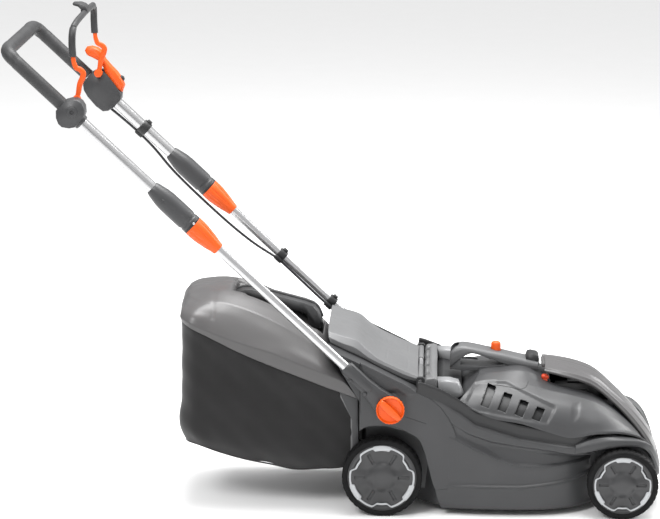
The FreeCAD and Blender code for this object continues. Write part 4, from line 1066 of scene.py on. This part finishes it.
loop_path = np.array([on_handle(*point) for point in spline(loop_route, 200)])
loop_pad = bar_along("grip_loop_pad", loop_path, lambda along: tuple(ACROSS), loop_radius, loop_radius)
finish_piece(loop_pad, "upper_handle", "grip_rubber", ["grip_loop"])


# ------------------------------------------------------------------ bail bracket, switch box and its cap
BRACKET = [(24, 928), (33, 918), (35, 908), (32, 897), (22, 886), (12, 882), (-14, 882), (-24, 889),
           (-33, 902), (-33, 912), (-27, 924), (-16, 934), (14, 934)]
bracket = crowned("bracket_body", handle_outline(BRACKET), -206, -171, 0.06, 6)
bracket_hub = turned("bracket_hub", [(4.2, 0), (11, 0), (12, 2), (11, 3.8), (8, 4.5), (4.2, 4.5)],
                     tuple(on_handle(6, -204, 908)), (0, -1, 0), 40)
bracket_neck = turned("bracket_neck", [(12.7, 876), (16, 878), (17, 890), (12.7, 900)],
                      (115, -TUBE_Y, 238), tuple(ALONG), 40)
finish_piece(join("bracket_shell", bracket, bracket_hub, bracket_neck), "upper_handle", "dark_plastic",
             ["bail_bracket"], SLEEVE_GREY)

BOX = [(10, 930), (22, 926), (33, 916), (34, 905), (29, 872), (24, 850), (14, 842), (-10, 841), (-26, 845),
       (-35, 853), (-37, 872), (-34, 900), (-29, 916), (-18, 929)]
box_body = crowned("box_body", handle_outline(BOX), 172, 206, 0.05, 6)
finish_piece(join("switch_box_shell", box_body), "upper_handle", "dark_plastic", ["switch_box"],
             SLEEVE_GREY)

CAP = [(34, 966), (37, 973), (45, 975), (54, 968), (60, 957), (61, 949), (57, 938), (53, 926), (51, 906),
       (50, 886), (46, 868), (40, 857), (26, 851), (24.6, 858), (25, 882), (32, 904), (40, 922), (42, 940),
       (38, 954)]
finish_piece(crowned("switch_cap_shell", handle_outline(CAP), 174.5, 204, 0.12, 6), "upper_handle",
             "orange_plastic", ["switch_cap"])
BUTTON = [(40, 866), (49, 866), (52, 872), (50, 878), (40, 878)]
button = crowned("start_button_cap", handle_outline(BUTTON), 182, 196, 0.12, 4)
finish_piece(button, "start_button", "dark_plastic", ["start_button"])

# ------------------------------------------------------------------ operator bail
BAIL_Y = 166
bail_axis = on_handle(24, 0, 918)


def flat_bar(name, route, wide, thick, steps=90, segments=16):
    """A flattened bar through (x, y, z) points; wide lies in the side view's plane."""
    def upright_of(along):
        return np.cross(along, (0, 1, 0) if abs(along[1]) < 0.8 else (1, 0, 0))

    return bar_along(name, spline(route, steps), upright_of, wide, thick, segments)


def bail_leg(side):
    y = side * BAIL_Y
    route = [(bail_axis.x, y, bail_axis.z), (-531, y, 900), (-527, y, 920), (-521, y, 934), (-520, y, 942),
             (-526, y, 949), (-534, y, 953), (-538, y, 962), (-540, y, 978), (-540.5, y, 988)]
    bar = flat_bar(f"leg_{side}", route, lambda p: 4.6 + 1.5 * math.sin(math.pi * min(p * 1.2, 1)),
                   lambda p: 3.6)
    eye = turned(f"eye_{side}", [(0, -6), (8.5, -6), (9, -5), (9, 5), (8.5, 6), (0, 6)],
                 (bail_axis.x, y, bail_axis.z), (0, 1, 0), 40)
    pin = turned(f"pin_{side}", [(0, 0), (3.9, 0), (3.9, 22), (0, 22)],
                 (bail_axis.x, side * (BAIL_Y - 4), bail_axis.z), (0, side, 0), 24)
    return join(f"leg_whole_{side}", bar, eye, pin)


on_both(bail_leg, "bail_leg_bars", "bail", "orange_plastic", ["bail_legs"])
bail_side = [(-540.5, -166, 976), (-541.5, -166, 1004), (-541, -163, 1022), (-540, -152, 1034),
             (-538, -134, 1040), (-537, -100, 1043), (-536, -50, 1045)]
bail_route = bail_side + [(-536, 0, 1045.5)] + [(x, -y, z) for x, y, z in reversed(bail_side)]
bail_bar = flat_bar("bail_bar", bail_route, lambda p: 6.6 + 1.0 * abs(2 * p - 1), lambda p: 6.2, 180, 24)
TONGUE = [(-528, 1046), (-530, 1056), (-536, 1062), (-546, 1065.4), (-561, 1065), (-560, 1062),
          (-549, 1059), (-543, 1053), (-543, 1043), (-535, 1040)]
finish_piece(join("bail_grip_bar", bail_bar, crowned("tongue", TONGUE, -20, 20, 0.08, 5)), "bail",
             "grip_rubber",
             ["bail_grip"])

# ------------------------------------------------------------------ cable and clips
CABLE_ROUTE = [(-20, 187, 849), (-17, 187, 806), (-16, 187, 762), (-18, 187, 712), (-26, 187, 662),
               (-28.5, 187.5, 610), (-29, 187, 560), (-28.5, 186.5, 510), (-26.5, 184, 460),
               (-21.5, 180.5, 410), (-13.5, 177.6, 372), (-8.4, 176.6, 347), (-8.6, 176, 290),
               (-9.2, 175.6, 230), (-8.4, 176.2, 178), (-7.9, 176.7, 132)]
cable = rod("control_cable_run", [on_handle(*point) for point in CABLE_ROUTE], 2.8, 3, 6)
cable.data.materials.append(MATERIALS["cable_rubber"])
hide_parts("control_cable")
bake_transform(cable)


def clip(name, radius, along, cable_at, body):
    """A snap ring with a split lug and an eye for the cable."""
    ring = turned(f"{name}_ring", [(radius, along - 10), (radius + 3.6, along - 9), (radius + 4, along),
                                   (radius + 3.6, along + 9), (radius, along + 10), (radius, along - 10)],
                  (115, TUBE_Y, 238), tuple(ALONG), 48)
    eye_at = on_handle(cable_at[0], cable_at[1], 0)
    eye = turned(f"{name}_eye", [(3.6, along - 10), (6, along - 9), (6.4, along), (6, along + 9),
                                 (3.6, along + 10),
                                 (3.6, along - 10)], tuple(eye_at), tuple(ALONG), 36)
    lug_side = [(radius + 1, along - 7), (radius + 8, along - 5), (radius + 8, along + 5),
                (radius + 1, along + 7)]
    lug = crowned(f"{name}_lug", handle_outline(lug_side), TUBE_Y - 5, TUBE_Y + 5, 0.1, 3)
    return join(name, ring, eye, lug)


upper_clip = clip("upper_clip", 12.5, 762, (-16.4, 187), "upper_handle")
finish_piece(upper_clip, "upper_handle", "dark_plastic", ["upper_cable_clip"])
lower_clips = join("lower_clips", clip("clip_high", 10, 347, (-8.5, 176.6), "lower_handle"),
                   clip("clip_low", 10, 194, (-8.6, 176), "lower_handle"))
finish_piece(lower_clips, "lower_handle", "dark_plastic", ["lower_cable_clips"])


# ------------------------------------------------------------------ battery lid
# Stations from the latch to the nose: under edge, side edge, shoulder and middle, each (x, y, z).
LID = [
    [(441, 60, 284), (441, 61, 289), (443, 56, 294), (444, 30, 296), (444, 0, 297)],
    [(474, 66, 277), (474, 68, 283), (476, 61, 289), (477, 34, 293.5), (477, 0, 295)],
    [(510, 68, 268), (510, 70, 274), (512, 63, 281), (513, 36, 285), (513, 0, 286.5)],
    [(540, 68, 257), (541, 70, 263), (543, 63, 270), (546, 36, 273), (546, 0, 274.5)],
    [(586, 68, 221), (588, 70, 226), (590, 63, 233), (592, 36, 236), (592, 0, 237.5)],
    [(636, 67, 167), (639, 69, 171), (643, 62, 177), (645, 36, 180), (646, 0, 181.5)],
    [(664, 66, 127), (668, 68, 130), (673, 60, 134), (676, 36, 136), (677, 0, 137)],
    [(684, 62, 100), (686, 63, 101), (689, 56, 103), (691, 32, 104), (692, 0, 104.5)],
]
battery_lines = [[station[k] for station in LID] for k in range(5)]
cover_grid = patch([[battery_lines[0], battery_lines[1]], [battery_lines[1], battery_lines[2]],
                    [battery_lines[2], battery_lines[3], battery_lines[4]]], 110, 8)
cx, cy, cz = cover_grid[..., 0], cover_grid[..., 1], cover_grid[..., 2]
cover_out = grid_normals(cover_grid)
# A raised centre panel runs down the lid and widens over the bend.
CENTRE_PANEL = [(470, 30), (500, 40), (548, 46), (600, 40), (650, 32), (680, 26), (680, -1), (470, -1)]
rise = 1.6 * smooth_step(inside(CENTRE_PANEL, cx, cy) / 3)
cover_grid = cover_grid + cover_out * (rise - 1.6)[..., None]
cover = shell("battery_lid_cover", cover_grid, 2.4, "rows", (520, 0, 120))
lid_hinge = turned("lid_hinge", [(0, -30), (4.2, -30), (4.2, 30), (0, 30)], (441, 0, 291), (0, 1, 0), 28)
finish_piece(join("battery_lid_shell", cover, lid_hinge), "battery_lid", "lid_plastic", ["battery_lid"])

# The pack under the lid: ribbed flanks and a moulded pull at each side.
PACK = [(463, 161), (463, 228), (468, 237), (540, 237), (581, 207), (584, 200), (584, 161)]
pack_case = crowned("pack_case", PACK, -49.5, 49.5, 0.05, 6)
ribs = [prism(f"pack_rib_{side}_{step}", [(472 + 14 * step, 172), (472 + 14 * step, 224),
                                          (479 + 14 * step, 224),
                                          (479 + 14 * step, 172)], *sorted((side * 48, side * 50)), 0.8)
        for side in (-1, 1) for step in range(6)]
pulls = [prism(f"pack_pull_{side}", [(494, 236), (497, 240), (537, 240), (540, 236)],
               *sorted((side * 24, side * 44)), 1.5) for side in (-1, 1)]
finish_piece(join("battery_pack_case", pack_case, *ribs, *pulls), "battery", "dark_plastic", ["battery"])

key_bow = crowned("key_bow", [(436, 269), (436, 274.5), (439, 277), (449, 277), (452, 274.5), (452, 269)],
                  -57.5, -45.5, 0.1, 4)
key_shaft = prism("key_shaft", [(439, 243), (439, 271), (449, 271), (449, 243)], -57.5, -46.5, 1.2)
finish_piece(join("safety_key_cap", key_bow, key_shaft), "safety_key", "red_plastic", ["safety_key"])

# ------------------------------------------------------------------ carry handle, latch and height button
GRAB_RAIL = [
    [(240, 27, 284), (241, 28, 300), (243, 26, 316), (250, 21, 325), (257, 12, 329), (260, 0, 330)],
    [(262, 27, 302), (262, 28, 313), (264, 26, 323), (266, 21, 328), (267, 12, 330.5), (267, 0, 331)],
    [(283, 27, 314), (283, 28, 319), (283, 26, 323), (283, 21, 326.5), (283, 12, 328.5), (283, 0, 329)],
    [(320, 27, 306), (320, 28, 311), (320, 26, 315), (320, 21, 319), (320, 12, 321.5), (320, 0, 322)],
    [(352, 27, 294), (352, 28, 303), (352, 26, 308), (352, 21, 312.5), (352, 12, 315), (352, 0, 315.5)],
    [(391, 27, 284), (391, 28, 293), (391, 26, 299), (391, 21, 303.5), (391, 12, 306), (391, 0, 306.5)],
    [(430, 27, 281), (430, 28, 288), (430, 26, 292), (430, 21, 295.5), (430, 12, 297.5), (430, 0, 298)],
]
rail_lines = [[station[k] for station in GRAB_RAIL] for k in range(6)]
rail_grid = patch([rail_lines[0:2], rail_lines[1:6]], 90, 5)
rail_skin = shell("rail_skin", rail_grid, 2.4, "rows", (330, 0, 290))
well = turned("well", [(0, 303), (11.6, 303), (11.6, 340), (0, 340)], (339, 0, 0), (0, 0, 1), 40, bevel=0)
well_floor = turned("well_again", [(0, 304), (11.6, 304), (11.6, 340), (0, 340)], (339, 0, 0), (0, 0, 1),
                    40, bevel=0)
carve(rail_skin, well)
base_side = [(240, 278), (243, 306), (252, 318), (266, 323), (272, 321), (264, 315), (262, 289), (300, 286),
             (345, 287.5), (362, 292), (366, 297), (360, 303), (391, 299), (428, 292), (430, 283),
             (398, 280), (300, 276), (262, 276), (246, 279)]
grab_base = prism("grab_base", base_side, -25.5, 25.5, 1.0)
beam_side = [(266, 323), (300, 319), (352, 308), (366, 303), (364, 297.5), (352, 299.5), (326, 301.5),
             (310, 309), (272, 318.5), (264, 315)]
grab_beam = prism("grab_beam", beam_side, -25.5, 25.5, 1.0)
carve(grab_beam, well_floor)
finish_piece(join("carry_handle_shell", rail_skin, grab_base, grab_beam), "deck", "hood_plastic",
             ["carry_handle"], GRAB_GREY)

LATCH = [(403, 292), (403, 305), (406, 312), (414, 314), (427, 311), (431.5, 307), (432.5, 297), (432, 287),
         (408, 285)]
finish_piece(crowned("latch_block", LATCH, -20, 20, 0.08, 5), "deck", "dark_plastic")

cap_profile = [(0, 309.3), (10.8, 309.3), (10.8, 329), (10, 333), (7.5, 335), (3, 334.6), (0, 334.2)]


def cap_ribs(angle, radius, along):
    return -0.4 * max(0.0, math.cos(12 * angle)) if radius > 10.5 else 0


button_cap = turned("height_button_cap", cap_profile, (339, 0, 0), (0, 0, 1), 60, cap_ribs)
finish_piece(button_cap, "height_button", "orange_plastic", ["height_button"])

# ------------------------------------------------------------------ shoulders beside the flap's hinge
GEM = [(213, 287), (239, 287), (258, 282), (270, 254), (249, 240), (224, 251), (215, 261)]
gems = [crowned(f"gem_{side}", GEM, *sorted((side * 104, side * 140)), 0.16, 6) for side in (-1, 1)]
finish_piece(join("shoulder_gems", *gems), "deck", "body_plastic", paint=GEM_GREY)
HINGE_STRIP = [(184, 262), (186, 283), (190, 289), (206, 291), (213, 288), (213, 262)]
hinge_strip = prism("hinge_beam", HINGE_STRIP, -138, 138, 2.2)
notch_side = [(180, 270), (180, 296), (196, 296), (196, 270)]
notches = [prism(f"notch_{y}", notch_side, y - 9, y + 9, 0) for y in (-96, -32, 32, 96)]
carve(hinge_strip, *notches)
finish_piece(hinge_strip, "deck", "light_plastic")
BASIN = [(212, 232), (214, 262), (226, 266), (244, 262), (258, 262), (266, 258), (262, 236)]
finish_piece(prism("rear_basin", BASIN, -136, 136, 1.5), "deck", "dark_plastic")
# A sloping web closes the gap between the basin and the hood's rear edge.
web_top = [(262, 156, 249), (273, 136, 257), (289, 102, 267), (301, 62, 276), (305, 0, 279)]
web_foot = [(258, 150, 236), (260, 130, 238), (262, 100, 242), (263, 60, 244), (263, 0, 244)]
finish_piece(shell("rear_web", patch([[web_top, web_foot]], 60, 6), 1.6, "columns"), "deck", "body_plastic")


# ------------------------------------------------------------------ seams
gasket("deck_seam", deck_side, [(x, z - 1) for x, z in CRESCENT[2:8]], "deck", 0.8, slot="body_plastic")
gasket("cheek_seam", cheeks, [(120, 224), (145, 217), (169, 209), (190, 202)], "deck", 0.6)
gasket("handle_seam", hood, [(320, 268), (340, 268), (365, 265), (390, 262), (402, 265), (407, 272)],
       "deck", 0.7)

# ------------------------------------------------------------------ floor
floor_mesh = bpy.data.meshes.new("floor")
floor_mesh.from_pydata([(-30, -30, 0), (30, -30, 0), (30, 30, 0), (-30, 30, 0)], [], [(0, 1, 2, 3)])
floor = bpy.data.objects.new("floor", floor_mesh)
floor.data.materials.append(plastic("floor_paint", (0.86, 0.86, 0.86), 0.6, depth=0.02, cloud=0.01))
scene.collection.objects.link(floor)
